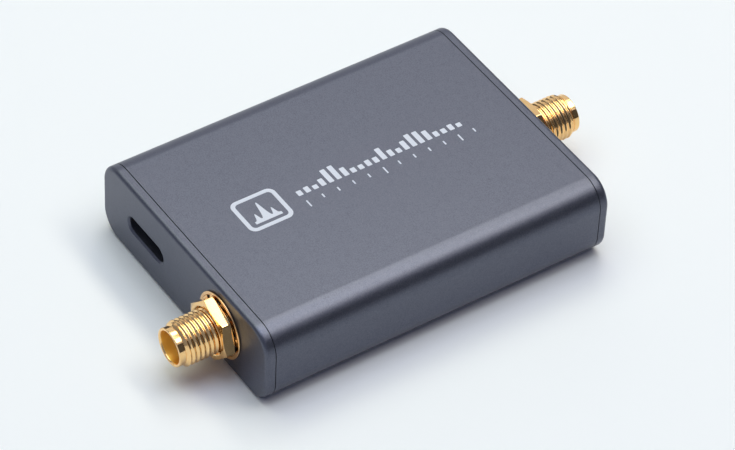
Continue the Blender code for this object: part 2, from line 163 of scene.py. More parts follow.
def extruded(name, outlines, thickness, matrix=None, edge=0.0):
    """A plate from local Z 0 to its thickness, its outlines' edges rounded by edge."""
    curve = bpy.data.curves.new(name, "CURVE")
    curve.dimensions = "2D"
    curve.fill_mode = "BOTH"
    curve.extrude = thickness / 2 - edge
    curve.bevel_depth = edge
    curve.bevel_resolution = 2
    curve.offset = -edge
    for outline in outlines:
        spline = curve.splines.new("POLY")
        spline.points.add(len(outline) - 1)
        spline.use_cyclic_u = True
        for point, (x, y) in zip(spline.points, outline):
            point.co = (x, y, 0.0, 1.0)
    guide = bpy.data.objects.new(name + "_outline", curve)
    bpy.context.scene.collection.objects.link(guide)
    mesh = evaluated_mesh(guide)
    bpy.data.objects.remove(guide)
    shape = bmesh.new()
    shape.from_mesh(mesh)
    bmesh.ops.remove_doubles(shape, verts=shape.verts, dist=0.0005 * MM)
    bmesh.ops.translate(shape, verts=shape.verts, vec=(0.0, 0.0, thickness / 2))
    return from_bmesh(name, shape, matrix)


def combine(target, tool, operation="DIFFERENCE"):
    """Cuts the tool from the target, or joins it on, and takes the tool away."""
    modifier = target.modifiers.new("boolean", "BOOLEAN")
    modifier.operation = operation
    modifier.solver = "EXACT"
    modifier.object = tool
    mesh = evaluated_mesh(target)
    target.modifiers.clear()
    target.data = mesh
    bpy.data.objects.remove(tool)
    return target


def ring_surface(name, rings, matrix=None, closed_along=True, screw=None):
    """A surface through rings of points, joined in order, and end to end if closed_along.

    screw is (first, last, rows per turn) for a run of rings that climb like a thread: past its
    last point, each of those rings joins the one a turn above it.
    """
    shape = bmesh.new()
    made = [[shape.verts.new(point) for point in ring] for ring in rings]
    count = len(made)

    def partner(row):
        if screw and screw[0] <= row <= screw[1]:
            return max(screw[0], row - screw[2])
        return row

    for low in range(count if closed_along else count - 1):
        high = (low + 1) % count
        last = len(made[low]) - 1
        for j in range(last):
            shape.faces.new((made[low][j], made[low][j + 1], made[high][j + 1], made[high][j]))
        seam = (made[low][last], made[partner(low)][0], made[partner(high)][0], made[high][last])
        shape.faces.new(dict.fromkeys(seam))
    if not closed_along:
        shape.faces.new(made[-1])
        shape.faces.new(list(reversed(made[0])))
    bmesh.ops.remove_doubles(shape, verts=shape.verts, dist=0.0002 * MM)
    bmesh.ops.recalc_face_normals(shape, faces=shape.faces)
    return from_bmesh(name, shape, matrix)


def lathe(name, profile, matrix=None, steps=96):
    """A closed (radius, height) profile turned about local Z."""
    angles = turns(steps)
    rings = [[polar(radius, a, height) for a in angles] for radius, height in profile]
    return ring_surface(name, rings, matrix)


def arc(centre, radius, start, end, steps=6):
    """Profile points along a circular arc, with angles in degrees."""
    points = []
    for step in range(steps + 1):
        angle = math.radians(start + (end - start) * step / steps)
        points.append((centre[0] + radius * math.cos(angle), centre[1] + radius * math.sin(angle)))
    return points


def cuboid(name, corner, opposite, edge=0.0, segments=2):
    """A box between two opposite corners, with rounded edges."""
    low = Vector(min(pair) for pair in zip(corner, opposite))
    high = Vector(max(pair) for pair in zip(corner, opposite))
    shape = bmesh.new()
    bmesh.ops.create_cube(shape, size=1.0)
    bmesh.ops.scale(shape, vec=high - low, verts=shape.verts)
    bmesh.ops.translate(shape, vec=(high + low) / 2, verts=shape.verts)
    if edge:
        bmesh.ops.bevel(
            shape, geom=shape.edges[:], offset=edge, segments=segments, profile=0.5, affect="EDGES"
        )
    return from_bmesh(name, shape)


def node_centre(node):
    """The middle of a CAD node's box."""
    low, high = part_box(node)
    return (low + high) / 2


def joined(name, objects):
    """One object made of several meshes."""
    shape = bmesh.new()
    for obj in objects:
        shape.from_mesh(obj.data)
        bpy.data.objects.remove(obj)
    return from_bmesh(name, shape)


def finished(obj, material, body, replaces=(), smooth=32.0):
    """Shades a piece, gives it its material and makes it ride on its body."""
    obj.data.materials.clear()
    obj.data.materials.append(material)
    obj.data.shade_smooth()
    obj.data.set_sharp_from_angle(angle=math.radians(smooth))
    weighted = obj.modifiers.new("flat_faces_stay_flat", "WEIGHTED_NORMAL")
    weighted.keep_sharp = True
    weighted.weight = 80
    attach(obj, body)
    if replaces:
        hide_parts(*replaces)
    return obj


# ---------------------------------------------------------------- materials


class Nodes:
    """A new material's node tree, with short ways to add and join nodes."""

    def __init__(self, name):
        self.material = bpy.data.materials.new(name)
        self.material.use_nodes = True
        self.tree = self.material.node_tree
        self.shader = self.tree.nodes["Principled BSDF"]
        self.place = self.tree.nodes.new("ShaderNodeTexCoord").outputs["Object"]

    def set(self, **values):
        """Sets shader inputs; emission_color stands for the input Emission Color."""
        for name, value in values.items():
            self.shader.inputs[name.replace("_", " ").title()].default_value = value

    def join(self, output, socket):
        """Joins an output to one of the shader's inputs."""
        self.tree.links.new(output, self.shader.inputs[socket])

    def stretched(self, scale):
        """Object coordinates scaled along each axis."""
        mapping = self.tree.nodes.new("ShaderNodeMapping")
        mapping.inputs["Scale"].default_value = scale
        self.tree.links.new(self.place, mapping.inputs["Vector"])
        return mapping.outputs["Vector"]

    def noise(self, size, detail=2.0, roughness=0.5, place=None):
        """Noise whose features are about size metres across."""
        node = self.tree.nodes.new("ShaderNodeTexNoise")
        node.inputs["Scale"].default_value = 1.0 / size
        node.inputs["Detail"].default_value = detail
        node.inputs["Roughness"].default_value = roughness
        self.tree.links.new(place or self.place, node.inputs["Vector"])
        return node.outputs["Fac"]

    def ramp(self, value, low, high, low_at=0.0, high_at=1.0):
        """Maps a value from low_at..high_at to low..high."""
        node = self.tree.nodes.new("ShaderNodeMapRange")
        node.inputs["From Min"].default_value = low_at
        node.inputs["From Max"].default_value = high_at
        node.inputs["To Min"].default_value = low
        node.inputs["To Max"].default_value = high
        self.tree.links.new(value, node.inputs["Value"])
        return node.outputs["Result"]

    def spread(self, noise, low=0.0, high=1.0):
        """Maps the middle of a noise's range to low..high."""
        return self.ramp(noise, low, high, 0.3, 0.7)

    def mix(self, factor, first, second):
        """Mixes two colours, each a tuple or an output."""
        node = self.tree.nodes.new("ShaderNodeMix")
        node.data_type = "RGBA"
        for socket, value in ((0, factor), (6, first), (7, second)):
            if isinstance(value, bpy.types.NodeSocket):
                self.tree.links.new(value, node.inputs[socket])
            elif socket == 0:
                node.inputs[socket].default_value = value
            else:
                node.inputs[socket].default_value = (*value, 1.0)
        return node.outputs[2]

    def math(self, operation, first, second):
        """One arithmetic node; each side is a number or an output."""
        node = self.tree.nodes.new("ShaderNodeMath")
        node.operation = operation
        for socket, value in zip(node.inputs, (first, second)):
            if isinstance(value, bpy.types.NodeSocket):
                self.tree.links.new(value, socket)
            else:
                socket.default_value = value
        return node.outputs[0]

    def facing_up(self):
        """1 on faces that point up or down, 0 on the sides."""
        geometry = self.tree.nodes.new("ShaderNodeNewGeometry")
        split = self.tree.nodes.new("ShaderNodeSeparateXYZ")
        self.tree.links.new(geometry.outputs["Normal"], split.inputs[0])
        return self.ramp(self.math("ABSOLUTE", split.outputs["Z"], 0.0), 0.0, 1.0, 0.4, 0.6)

    def edges(self, radius):
        """1 on edges rounder than radius, 0 on flat faces."""
        bevel = self.tree.nodes.new("ShaderNodeBevel")
        bevel.samples = 4
        bevel.inputs["Radius"].default_value = radius
        geometry = self.tree.nodes.new("ShaderNodeNewGeometry")
        dot = self.tree.nodes.new("ShaderNodeVectorMath")
        dot.operation = "DOT_PRODUCT"
        self.tree.links.new(bevel.outputs["Normal"], dot.inputs[0])
        self.tree.links.new(geometry.outputs["Normal"], dot.inputs[1])
        return self.ramp(dot.outputs["Value"], 1.0, 0.0, 0.80, 0.99)

    def bump(self, height, distance, strength):
        """Raises the surface by up to distance where the height output is high."""
        node = self.tree.nodes.new("ShaderNodeBump")
        node.inputs["Distance"].default_value = distance
        node.inputs["Strength"].default_value = strength
        self.tree.links.new(height, node.inputs["Height"])
        self.join(node.outputs["Normal"], "Normal")


def anodised_aluminium():
    """Bead-blasted, dyed dark grey: fine pits, a soft mottle and paler edges."""
    nodes = Nodes("anodised_aluminium")
    mottle = nodes.noise(1.1 * MM, detail=4.0, roughness=0.62)
    grain = nodes.noise(0.16 * MM, detail=3.0, roughness=0.7)
    dark, light = (0.083, 0.088, 0.116), (0.096, 0.102, 0.133)
    base = nodes.mix(nodes.spread(mottle), dark, light)
    speckled = nodes.mix(nodes.ramp(grain, 0.0, 1.0, 0.35, 0.75), base, (0.142, 0.149, 0.186))
    # Small rounded edges, found by the bevel node, are mixed towards a paler grey.
    edge_paling = nodes.ramp(nodes.edges(0.12 * MM), 0.0, 0.45)
    edge_paled = nodes.mix(edge_paling, speckled, (0.20, 0.205, 0.23))
    nodes.join(edge_paled, "Base Color")
    nodes.join(nodes.spread(grain, 0.31, 0.42), "Roughness")
    nodes.set(metallic=0.85)
    nodes.bump(grain, 0.014 * MM, 0.6)
    return nodes.material


def gold_plate(name, dull, bright, roughness):
    """Plating over turned brass: faint tool marks and a slight cloudiness."""
    nodes = Nodes(name)
    cloud = nodes.noise(0.9 * MM, detail=3.0)
    turning = nodes.noise(0.05 * MM, detail=1.0, place=nodes.stretched((0.12, 1.0, 0.12)))
    color = nodes.mix(nodes.spread(cloud), dull, bright)
    nodes.join(color, "Base Color")
    nodes.join(nodes.spread(cloud, roughness, roughness + 0.05), "Roughness")
    nodes.set(metallic=1.0)
    nodes.bump(turning, 0.0004 * MM, 0.5)
    return nodes.material


def printed_ink():
    """Pale grey pad print, very slightly uneven."""
    nodes = Nodes("printed_ink")
    grain = nodes.noise(0.14 * MM, detail=2.0, roughness=0.7)
    dark, light = (0.60, 0.63, 0.70), (0.68, 0.71, 0.78)
    color = nodes.mix(nodes.spread(grain), dark, light)
    nodes.join(color, "Base Color")
    nodes.join(nodes.spread(grain, 0.40, 0.52), "Roughness")
    nodes.bump(grain, 0.008 * MM, 0.4)
    return nodes.material


def fluoropolymer():
    """Waxy white PTFE that lets a little light in."""
    nodes = Nodes("fluoropolymer")
    cloud = nodes.noise(0.5 * MM, detail=3.0)
    nodes.join(nodes.mix(cloud, (0.84, 0.83, 0.80), (0.93, 0.92, 0.90)), "Base Color")
    nodes.join(nodes.ramp(cloud, 0.38, 0.52), "Roughness")
    nodes.set(subsurface_weight=0.15, subsurface_scale=0.4 * MM)
    nodes.bump(nodes.noise(0.08 * MM), 0.004 * MM, 0.4)
    return nodes.material


def drawn_steel(name, color, grain_direction, roughness=0.26):
    """Sheet metal with a fine drawn grain along one axis."""
    nodes = Nodes(name)
    streaks = nodes.noise(0.05 * MM, detail=3.0, place=nodes.stretched(grain_direction))
    cloud = nodes.noise(1.4 * MM, detail=3.0)
    darker = tuple(0.84 * channel for channel in color)
    nodes.join(nodes.mix(cloud, darker, color), "Base Color")
    nodes.join(nodes.spread(streaks, roughness - 0.05, roughness + 0.10), "Roughness")
    nodes.set(metallic=1.0)
    nodes.bump(streaks, 0.0015 * MM, 0.4)
    return nodes.material


def moulded_plastic(name, color, grain=0.10 * MM, roughness=0.5):
    """Injection-moulded resin with a fine matt texture."""
    nodes = Nodes(name)
    fine = nodes.noise(grain, detail=2.0, roughness=0.6)
    cloud = nodes.noise(2.0 * MM, detail=3.0)
    paler = tuple(min(1.0, 1.35 * channel + 0.006) for channel in color)
    nodes.join(nodes.mix(nodes.spread(cloud), color, paler), "Base Color")
    nodes.join(nodes.spread(fine, roughness - 0.06, roughness + 0.08), "Roughness")
    nodes.bump(fine, 0.006 * MM, 0.5)
    return nodes.material


def solder_mask(name, raised):
    """Glossy green lacquer; cut edges show pale laminate, and raised tracks look brighter."""
    nodes = Nodes(name)
    cloud = nodes.noise(3.0 * MM, detail=3.0)
    weave = nodes.noise(0.25 * MM, detail=1.0, place=nodes.stretched((1.0, 0.25, 1.0)))
    dark = (0.010 + 0.012 * raised, 0.085 + 0.07 * raised, 0.040 + 0.03 * raised)
    light = (0.014 + 0.012 * raised, 0.115 + 0.07 * raised, 0.052 + 0.03 * raised)
    base = nodes.mix(cloud, dark, light)
    lacquer = nodes.mix(nodes.ramp(weave, 0.0, 0.35, 0.4, 0.7), base, (0.02, 0.15, 0.07))
    laminate = nodes.mix(weave, (0.36, 0.33, 0.16), (0.46, 0.42, 0.22))
    nodes.join(nodes.mix(nodes.facing_up(), laminate, lacquer), "Base Color")
    nodes.join(nodes.spread(weave, 0.22, 0.34), "Roughness")
    nodes.bump(weave, 0.006 * MM, 0.35)
    return nodes.material


def floor_paper():
    """Pale paper; far from the part it glows a little, so that it runs into the backdrop."""
    nodes = Nodes("floor_paper")
    fibre = nodes.noise(0.6 * MM, detail=4.0)
    cloud = nodes.noise(90 * MM, detail=2.0)
    nodes.join(nodes.mix(cloud, (0.865, 0.890, 0.895), (0.885, 0.905, 0.910)), "Base Color")
    nodes.set(roughness=0.55, emission_color=BACKDROP)
    distance = nodes.tree.nodes.new("ShaderNodeVectorMath")
    distance.operation = "LENGTH"
    nodes.tree.links.new(nodes.place, distance.inputs[0])
    nodes.join(nodes.ramp(distance.outputs["Value"], 0.0, 0.80, 0.25, 1.3), "Emission Strength")
    nodes.bump(fibre, 0.01 * MM, 0.1)
    return nodes.material


ALUMINIUM = anodised_aluminium()
GOLD = gold_plate("gold_plate", (0.94, 0.595, 0.25), (1.0, 0.66, 0.30), 0.07)
STAMPED_GOLD = gold_plate("stamped_gold", (0.90, 0.56, 0.26), (0.98, 0.62, 0.31), 0.20)
# Gold for the mouth's inside: rougher, and a deeper, darker amber that is painted shade of the
# recess.
MOUTH_SHADE_GOLD = gold_plate("mouth_painted_shade_gold", (0.90, 0.54, 0.11), (0.96, 0.60, 0.14), 0.42)
INK = printed_ink()
PTFE = fluoropolymer()
STEEL = drawn_steel("stainless_shell", (0.38, 0.38, 0.40), (1.0, 0.08, 1.0), 0.42)
TIN = drawn_steel("tinned_steel", (0.37, 0.37, 0.365), (1.0, 0.15, 1.0), 0.50)
CAN = drawn_steel("nickel_can", (0.42, 0.405, 0.35), (0.2, 1.0, 1.0), 0.45)
BLACK = moulded_plastic("black_moulding", (0.018, 0.018, 0.020))
RESIN = moulded_plastic("chip_resin", (0.026, 0.026, 0.029), 0.07 * MM, 0.58)
CERAMIC = moulded_plastic("fired_ceramic", (0.42, 0.30, 0.18), 0.06 * MM, 0.55)
FERRITE = moulded_plastic("pressed_ferrite", (0.075, 0.075, 0.082), 0.05 * MM, 0.7)
SOLDER = drawn_steel("solder", (0.48, 0.485, 0.49), (1.0, 1.0, 1.0), 0.5)
MASK = solder_mask("solder_mask", 0.0)
TRACK = solder_mask("masked_track", 1.0)


# ---------------------------------------------------------------- case


def cavity_outline():
    """The sleeve's inside: a step under each card slot, a rail above it, round top corners."""
    slot_clearance = 0.2 * MM
    cavity_half = CASE_WIDTH / 2 - WALL
    rail_x = cavity_half - 1.2 * MM
    slot_low = BOARD_LOW.z - slot_clearance
    slot_high = BOARD_TOP + slot_clearance
    rail_top = slot_high + 0.9 * MM
    radius = CASE_CORNER - WALL
    ceiling = CASE_HEIGHT - WALL
    right = [
        (rail_x, WALL),
        (rail_x, slot_low),
        (cavity_half, slot_low),
        (cavity_half, slot_high),
        (rail_x, slot_high),
        (rail_x, rail_top),
        (cavity_half, rail_top),
    ]
    right += arc((cavity_half - radius, ceiling - radius), radius, 0, 90, 12)
    return right + [(-x, z) for x, z in reversed(right)]


def make_sleeve():
    """The extrusion, a little longer than in the frame so that the seams are fine lines."""
    length = 2 * (PANEL_Y - CAP_THICKNESS - SEAM)
    along_y = Matrix.Translation((0.0, length / 2, 0.0)) @ Matrix.Rotation(math.pi / 2, 4, "X")
    outside = rounded_rectangle(CASE_WIDTH, CASE_HEIGHT, CASE_CORNER, (0.0, CASE_HEIGHT / 2))
    outlines = [outside, cavity_outline()]
    sleeve = extruded("sleeve_extrusion", outlines, length, along_y, BROKEN_EDGE)
    finished(sleeve, ALUMINIUM, "case", ["case_sleeve"])


def outward_matrix(x, y_panel, side, z=0.0):
    """Maps local X, Y, Z to world X, Z and outwards from a panel (side -1 front, +1 rear)."""
    across = Vector((-float(side), 0.0, 0.0))
    turn = Matrix((across, Vector((0.0, 0.0, 1.0)), Vector((0.0, side, 0.0)))).transposed().to_4x4()
    return Matrix.Translation((x, y_panel, z)) @ turn


def inset_ring(width, height, radius, inset, depth, centre):
    """A rounded rectangle shrunk by the inset, at a depth."""
    outline = rounded_rectangle(width - 2 * inset, height - 2 * inset, radius - inset, centre)
    return [(x, y, depth) for x, y in outline]


def cap_blank(name, side):
    """The cap's plate: its back edge is broken slightly and its front edge is rounded over."""
    centre = (0.0, CASE_HEIGHT / 2)
    size = (CASE_WIDTH, CASE_HEIGHT, CASE_CORNER)
    steps = 8
    rings = [inset_ring(*size, BROKEN_EDGE, -CAP_THICKNESS, centre)]
    rings.append(inset_ring(*size, 0.0, -CAP_THICKNESS + BROKEN_EDGE, centre))
    for step in range(steps + 1):
        angle = step / steps * math.pi / 2
        inset = CAP_EDGE * (1 - math.cos(angle))
        rings.append(inset_ring(*size, inset, -CAP_EDGE * (1 - math.sin(angle)), centre))
    return ring_surface(name, rings, outward_matrix(0.0, side * PANEL_Y, side), closed_along=False)


def tapered_cutter(name, outline_at, depths, matrix):
    """A cutter through rings: outline_at(growth) at each (growth, depth)."""
    rings = []
    for growth, depth in depths:
        rings.append([(x, y, depth) for x, y in outline_at(growth)])
    return ring_surface(name, rings, matrix, closed_along=False)


def opening_depths(chamfer):
    """Depths for a hole through a cap whose front edge has a chamfer."""
    past = 1.0 * MM
    return (
        (0.0, -CAP_THICKNESS - past),
        (0.0, -chamfer),
        (chamfer, 0.0),
        (chamfer + past * 0.2, past * 0.2),
    )


def cut_jack_hole(cap, node, side):
    """The jack's round hole, with a small chamfer."""
    centre = node_centre(node)
    radius = THREAD_RADIUS + REST_GAP
    matrix = outward_matrix(centre.x, side * PANEL_Y, side, centre.z)
    depths = opening_depths(0.1 * MM)
    combine(cap, tapered_cutter("hole", lambda growth: circle(radius + growth), depths, matrix))


def cut_usb_opening(cap):
    """The USB-C opening: straight sides, round ends and a chamfered rim."""
    width, height, chamfer = 8.56 * MM, 2.46 * MM, 0.27 * MM
    centre = node_centre("usb_shell")
    matrix = outward_matrix(centre.x, -PANEL_Y, -1, centre.z)

    def outline_at(growth):
        size = (width + 2 * growth, height + 2 * growth)
        return rounded_rectangle(*size, size[1] / 2 - 0.01 * MM)

    combine(cap, tapered_cutter("opening", outline_at, opening_depths(chamfer), matrix))


def add_cap_tabs(cap, side):
    """Four small tabs on the cap's back that centre it in the sleeve."""
    size = Vector((2.4, 2.0, 1.5)) * MM
    middle_y = side * (PANEL_Y - CAP_THICKNESS - size.y / 2 + REST_GAP)
    top_z = CASE_HEIGHT - WALL - REST_GAP - size.z / 2
    bottom_z = WALL + REST_GAP + size.z / 2
    for x in (-15.6 * MM, 15.6 * MM):
        for z in (top_z, bottom_z):
            middle = Vector((x, middle_y, z))
            combine(cap, cuboid("tab", middle - size / 2, middle + size / 2, 0.15 * MM), "UNION")


def make_caps():
    """Both end caps; only the front one has the USB-C opening."""
    for end, side in (("front", -1), ("rear", 1)):
        cap = cap_blank(f"{end}_cap_plate", side)
        add_cap_tabs(cap, side)
        cut_jack_hole(cap, f"{end}_jack_body", side)
        if side < 0:
            cut_usb_opening(cap)
        finished(cap, ALUMINIUM, f"{end}_cap", [f"{end}_cap"], smooth=40.0)


# ---------------------------------------------------------------- top print


def graticule_bar(index, count):
    """Height share of one bar in the printed spectrum: three peaks over a low floor."""
    place = index / (count - 1)
    floor = 0.30 + 0.06 * math.sin(index * 2.3)
    peaks = ((0.22, 0.055, 0.70), (0.52, 0.035, 0.42), (0.74, 0.075, 0.55))
    height = floor
    for middle, width, gain in peaks:
        height += gain * math.exp(-(((place - middle) / width) ** 2))
    return min(1.0, height)


def make_print():
    """A generic printed graphic: a small screen outline, a bar spectrum and its scale ticks."""
    thickness = 0.02 * MM
    lift = Matrix.Translation((0.0, 0.0, CASE_HEIGHT - thickness / 2))
    made = []

    def patch(outlines):
        made.append(extruded(f"patch{len(made)}", outlines, thickness, lift))

    screen = (-0.6 * MM, -14.5 * MM)
    width, length, line = 6.2 * MM, 6.8 * MM, 0.6 * MM
    outside = rounded_rectangle(width, length, 1.1 * MM, screen, steps=10)
    inside = rounded_rectangle(width - 2 * line, length - 2 * line, line, screen, steps=10)
    patch([outside, inside])
    patch([peak_outline(screen)])
    bars, tallest = 22, 3.2 * MM
    first_y, last_y = -9.0 * MM, 17.6 * MM
    bars_x, ticks_x = -0.2 * MM, 0.95 * MM
    pitch = (last_y - first_y) / bars
    half_bar = pitch * 0.36
    for index in range(bars):
        height = tallest * graticule_bar(index, bars)
        centre = (bars_x - height / 2, first_y + index * pitch + half_bar)
        patch([rounded_rectangle(height, pitch * 0.62, 0.12 * MM, centre, steps=4)])
    for index in range(bars // 2 + 1):
        tick = (1.3 if index % 5 == 0 else 0.75) * MM
        centre = (ticks_x + tick / 2, first_y + 2 * index * pitch + half_bar)
        patch([rounded_rectangle(tick, 0.22 * MM, 0.08 * MM, centre, steps=3)])
    finished(joined("top_print", made), INK, "case")


def peak_outline(screen):
    """The filled trace inside the printed screen: one tall bell between two low ones."""
    half = 2.05 * MM
    base_x = screen[0] + 1.95 * MM
    steps = 40
    outline = [(base_x, screen[1] + half), (base_x, screen[1] - half)]
    for step in range(steps + 1):
        across = -1 + 2 * step / steps
        bell = 0.80 * math.exp(-((across / 0.20) ** 2))
        side_bells = 0.34 * math.exp(-(((abs(across) - 0.62) / 0.13) ** 2))
        height = (0.12 + bell + side_bells) * 3.9 * MM
        outline.append((base_x - height, screen[1] + across * half))
    return outline


# ---------------------------------------------------------------- jacks


def smooth_step(value):
    """An S-shaped step from 0 to 1, level at both ends."""
    value = max(0.0, min(1.0, value))
    return value * value * (3 - 2 * value)


def thread_height(phase):
    """Share of the thread's depth at a phase of 0..1 along one pitch: a V with eased corners."""
    from_crest = abs(phase - 0.5) * 2
    root_starts, flank = 0.92, 0.80
    return smooth_step((root_starts - from_crest) / flank)


def lip_profile(mouth):
    """The bore, the mouth and the smooth lip, from the bead's face outwards and back."""
    edge = 0.11 * MM
    profile = [(MOUTH_RADIUS, mouth - MOUTH_DEPTH), (MOUTH_RADIUS, mouth - 0.2 * MM)]
    profile += [(MOUTH_RADIUS + 0.08 * MM, mouth - 0.04 * MM), (MOUTH_RADIUS + 0.14 * MM, mouth)]
    profile += arc((LIP_RADIUS - edge, mouth - edge), edge, 90, 0, 5)
    relief = mouth - LIP_LENGTH
    profile += [(LIP_RADIUS, mouth - edge - 0.01 * MM), (LIP_RADIUS, relief + 0.17 * MM)]
    profile += [(LIP_RADIUS, relief + 0.16 * MM), (LIP_RADIUS - 0.07 * MM, relief + 0.12 * MM)]
    return profile + [(LIP_RADIUS - 0.07 * MM, relief + 0.02 * MM)]


def screw_rings(start, base, angles, rows_per_turn):
    """Thread rings that climb one pitch around the barrel, cut off square at both ends."""
    root = THREAD_RADIUS - THREAD_DEPTH
    lead_in_slope = 1.1
    rows = math.ceil(rows_per_turn * ((start - base) / PITCH + 1))
    rings = []
    for row in range(rows + 1):
        height_on_root = thread_height(row / rows_per_turn % 1.0) * THREAD_DEPTH
        ring = []
        for a in angles:
            level = start + PITCH * (a / math.tau - row / rows_per_turn)
            level = max(base, min(start, level))
            lead_in = LIP_RADIUS - 0.02 * MM + (start - level) * lead_in_slope
            radius = min(root + height_on_root, lead_in)
            if level == base:
                radius = root
            ring.append(polar(radius, a, level))
        rings.append(ring)
    return rings


def make_jack_barrel(end, matrix, mouth, base):
    """The jack's barrel: bore, mouth, lip, relief and a helical thread down to its flange."""
    angles, rows_per_turn = turns(120), 14
    profile = [(INSULATOR_BORE, base), (INSULATOR_BORE, mouth - MOUTH_DEPTH)] + lip_profile(mouth)
    rings = [[polar(radius, a, height) for a in angles] for radius, height in profile]
    thread = screw_rings(mouth - LIP_LENGTH, base, angles, rows_per_turn)
    first = len(rings)
    rings += thread
    screw = (first, len(rings) - 1, rows_per_turn)
    barrel = ring_surface(f"{end}_jack_barrel", rings, matrix, screw=screw)
    finished(barrel, GOLD, "board", smooth=60.0)
    # Faces inside the mouth take the rougher gold whose darker amber is painted shade.
    barrel.data.materials.append(MOUTH_SHADE_GOLD)
    axis = matrix.to_translation()
    for face in barrel.data.polygons:
        off_axis = Vector((face.center.x - axis.x, 0.0, face.center.z - axis.z)).length
        if off_axis < MOUTH_RADIUS + 0.01 * MM:
            face.material_index = 1


def make_jack_flange(end, side, matrix):
    """The square shoulder behind the cap, with legs that straddle the board."""
    node = f"{end}_jack_body"
    low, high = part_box(node)
    back_y = side * (max(abs(BOARD_LOW.y), abs(BOARD_HIGH.y)) + REST_GAP)
    front_y = back_y + side * FLANGE_THICKNESS
    corners = (low.x, back_y, low.z), (high.x, front_y, high.z)
    block = cuboid(f"{end}_jack_flange", *corners, 0.15 * MM)
    gap = 0.2 * MM
    for x in (low.x + 0.05 * MM, high.x - 0.05 * MM - LEG):
        for z in (BOARD_TOP + gap, BOARD_LOW.z - gap - LEG):
            tip = (x, back_y - side * LEG_LENGTH, z)
            root = (x + LEG, back_y + side * 0.5 * MM, z + LEG)
            combine(block, cuboid("leg", tip, root, 0.12 * MM), "UNION")
    axis = 0.001 * MM
    bore_end = -abs(back_y - side * PANEL_Y) - 1 * MM
    bore = [(axis, 0.0), (INSULATOR_BORE, 0.0), (INSULATOR_BORE, bore_end), (axis, bore_end)]
    combine(block, lathe("bore", bore, matrix, steps=64))
    finished(block, GOLD, "board", [node])


def make_jack_insulator(end, matrix, face, back):
    """The white bead that holds the contact."""
    edge = 0.08 * MM
    outer, inner = INSULATOR_BORE - 0.02 * MM, 0.66 * MM
    profile = [(inner, back), (inner, face)]
    profile += arc((outer - edge, face - edge), edge, 90, 0, 4)
    profile += arc((outer - edge, back + edge), edge, 0, -90, 4)
    bead = lathe(f"{end}_jack_bead", profile, matrix)
    finished(bead, PTFE, "board", [f"{end}_jack_insulator"])


def make_jack_contact(end, matrix, face, back):
    """A sprung socket, slotted into four fingers, and the pin that lies on the board."""
    radius, socket, pin = CONTACT_RADIUS, SOCKET_RADIUS, PIN_RADIUS
    bottom = face - 2.6 * MM
    pin_end = back - 2.6 * MM
    point = 0.02 * MM
    profile = [(point, bottom), (socket, bottom), (socket, face - 0.12 * MM)]
    profile += [(socket + 0.08 * MM, face)]
    profile += arc((radius - 0.06 * MM, face - 0.06 * MM), 0.06 * MM, 90, 0, 3)
    profile += [(radius, back + 0.2 * MM), (pin, back + 0.2 * MM)]
    profile += arc((pin - 0.15 * MM, pin_end + 0.15 * MM), 0.15 * MM, 0, -90, 4)
    profile += [(point, pin_end)]
    contact = lathe(f"{end}_jack_pin", profile, matrix, steps=64)
    slot = 0.13 * MM
    slot_low = (-slot / 2, -radius * 1.5, face - 2.2 * MM)
    slot_high = (slot / 2, radius * 1.5, face + 1 * MM)
    for turn in (math.pi / 4, 3 * math.pi / 4):
        blade = cuboid("slot", slot_low, slot_high)
        blade.data.transform(matrix @ Matrix.Rotation(turn, 4, "Z"))
        combine(contact, blade)
    finished(contact, GOLD, "board", [f"{end}_jack_contact"])


def make_washer(end, side):
    """Internal-tooth lock washer: a rounded ring whose teeth twist as they reach inwards."""
    node = f"{end}_lock_washer"
    low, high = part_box(node)
    outer = (high.x - low.x) / 2
    start = min(abs(low.y), abs(high.y))
    thickness = 0.24 * MM
    middle = (low + high) / 2
    matrix = outward_matrix(middle.x, side * start, side, middle.z)
    root, tip = 4.28 * MM, THREAD_RADIUS + 0.2 * MM
    edge = 0.09 * MM
    profile = arc((outer - edge, thickness - edge), edge, 90, 0, 4)
    profile += arc((outer - edge, edge), edge, 0, -90, 4)
    profile += arc((root + edge, edge), edge, -90, -180, 3)
    profile += arc((root + edge, thickness - edge), edge, 180, 90, 3)
    parts = [lathe("ring", profile, steps=160)]
    nut_back = min(abs(corner.y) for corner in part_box(f"{end}_hex_nut"))
    lift = nut_back - start - 0.03 * MM
    for tooth in range(TEETH):
        turn = TOOTH_PHASE + tooth / TEETH * math.tau
        parts.append(washer_tooth(turn, root + 0.14 * MM, tip, thickness, lift))
    washer = joined(f"{end}_tooth_washer", parts)
    washer.data.transform(matrix)
    finished(washer, STAMPED_GOLD, f"{end}_cap", [node], smooth=45.0)


def washer_tooth(turn, root, tip, thickness, lift):
    """One tooth: one edge stays on the panel, the other is bent up to the nut."""
    steps, across_steps = 6, 4
    sheet = thickness * 0.7
    rings = []
    for step in range(steps + 1):
        share = step / steps
        radius = root + (tip - root) * share
        half_width = (0.76 - 0.22 * share) * MM
        bend = smooth_step(share * 3.0)
        rise = (lift - thickness) * bend
        flat, bent = [], []
        for k in range(across_steps + 1):
            across = -1 + 2 * k / across_steps
            base = rise * smooth_step((across + 1) / 2)
            flat.append((radius, across * half_width, base))
            bent.append((radius, across * half_width, base + sheet))
        rings.append(flat + list(reversed(bent)))
    return ring_surface("tooth", rings, Matrix.Rotation(turn, 4, "Z"), closed_along=False)


def hexagon_radius(angle, flats, turn):
    """Distance to a hexagon's side, its corners very slightly eased."""
    sector = math.pi / 3
    offset = (angle - turn) % sector - sector / 2
    sharp = flats / 2 / math.cos(offset)
    corner = flats / 2 / math.cos(sector / 2)
    return min(sharp, corner - 0.03 * MM)


def polar_ring(angles, radius_at, level_at):
    """A ring whose radius and height are given as functions of the angle."""
    ring = []
    for a in angles:
        radius = radius_at(a)
        ring.append(polar(radius, a, level_at(radius)))
    return ring


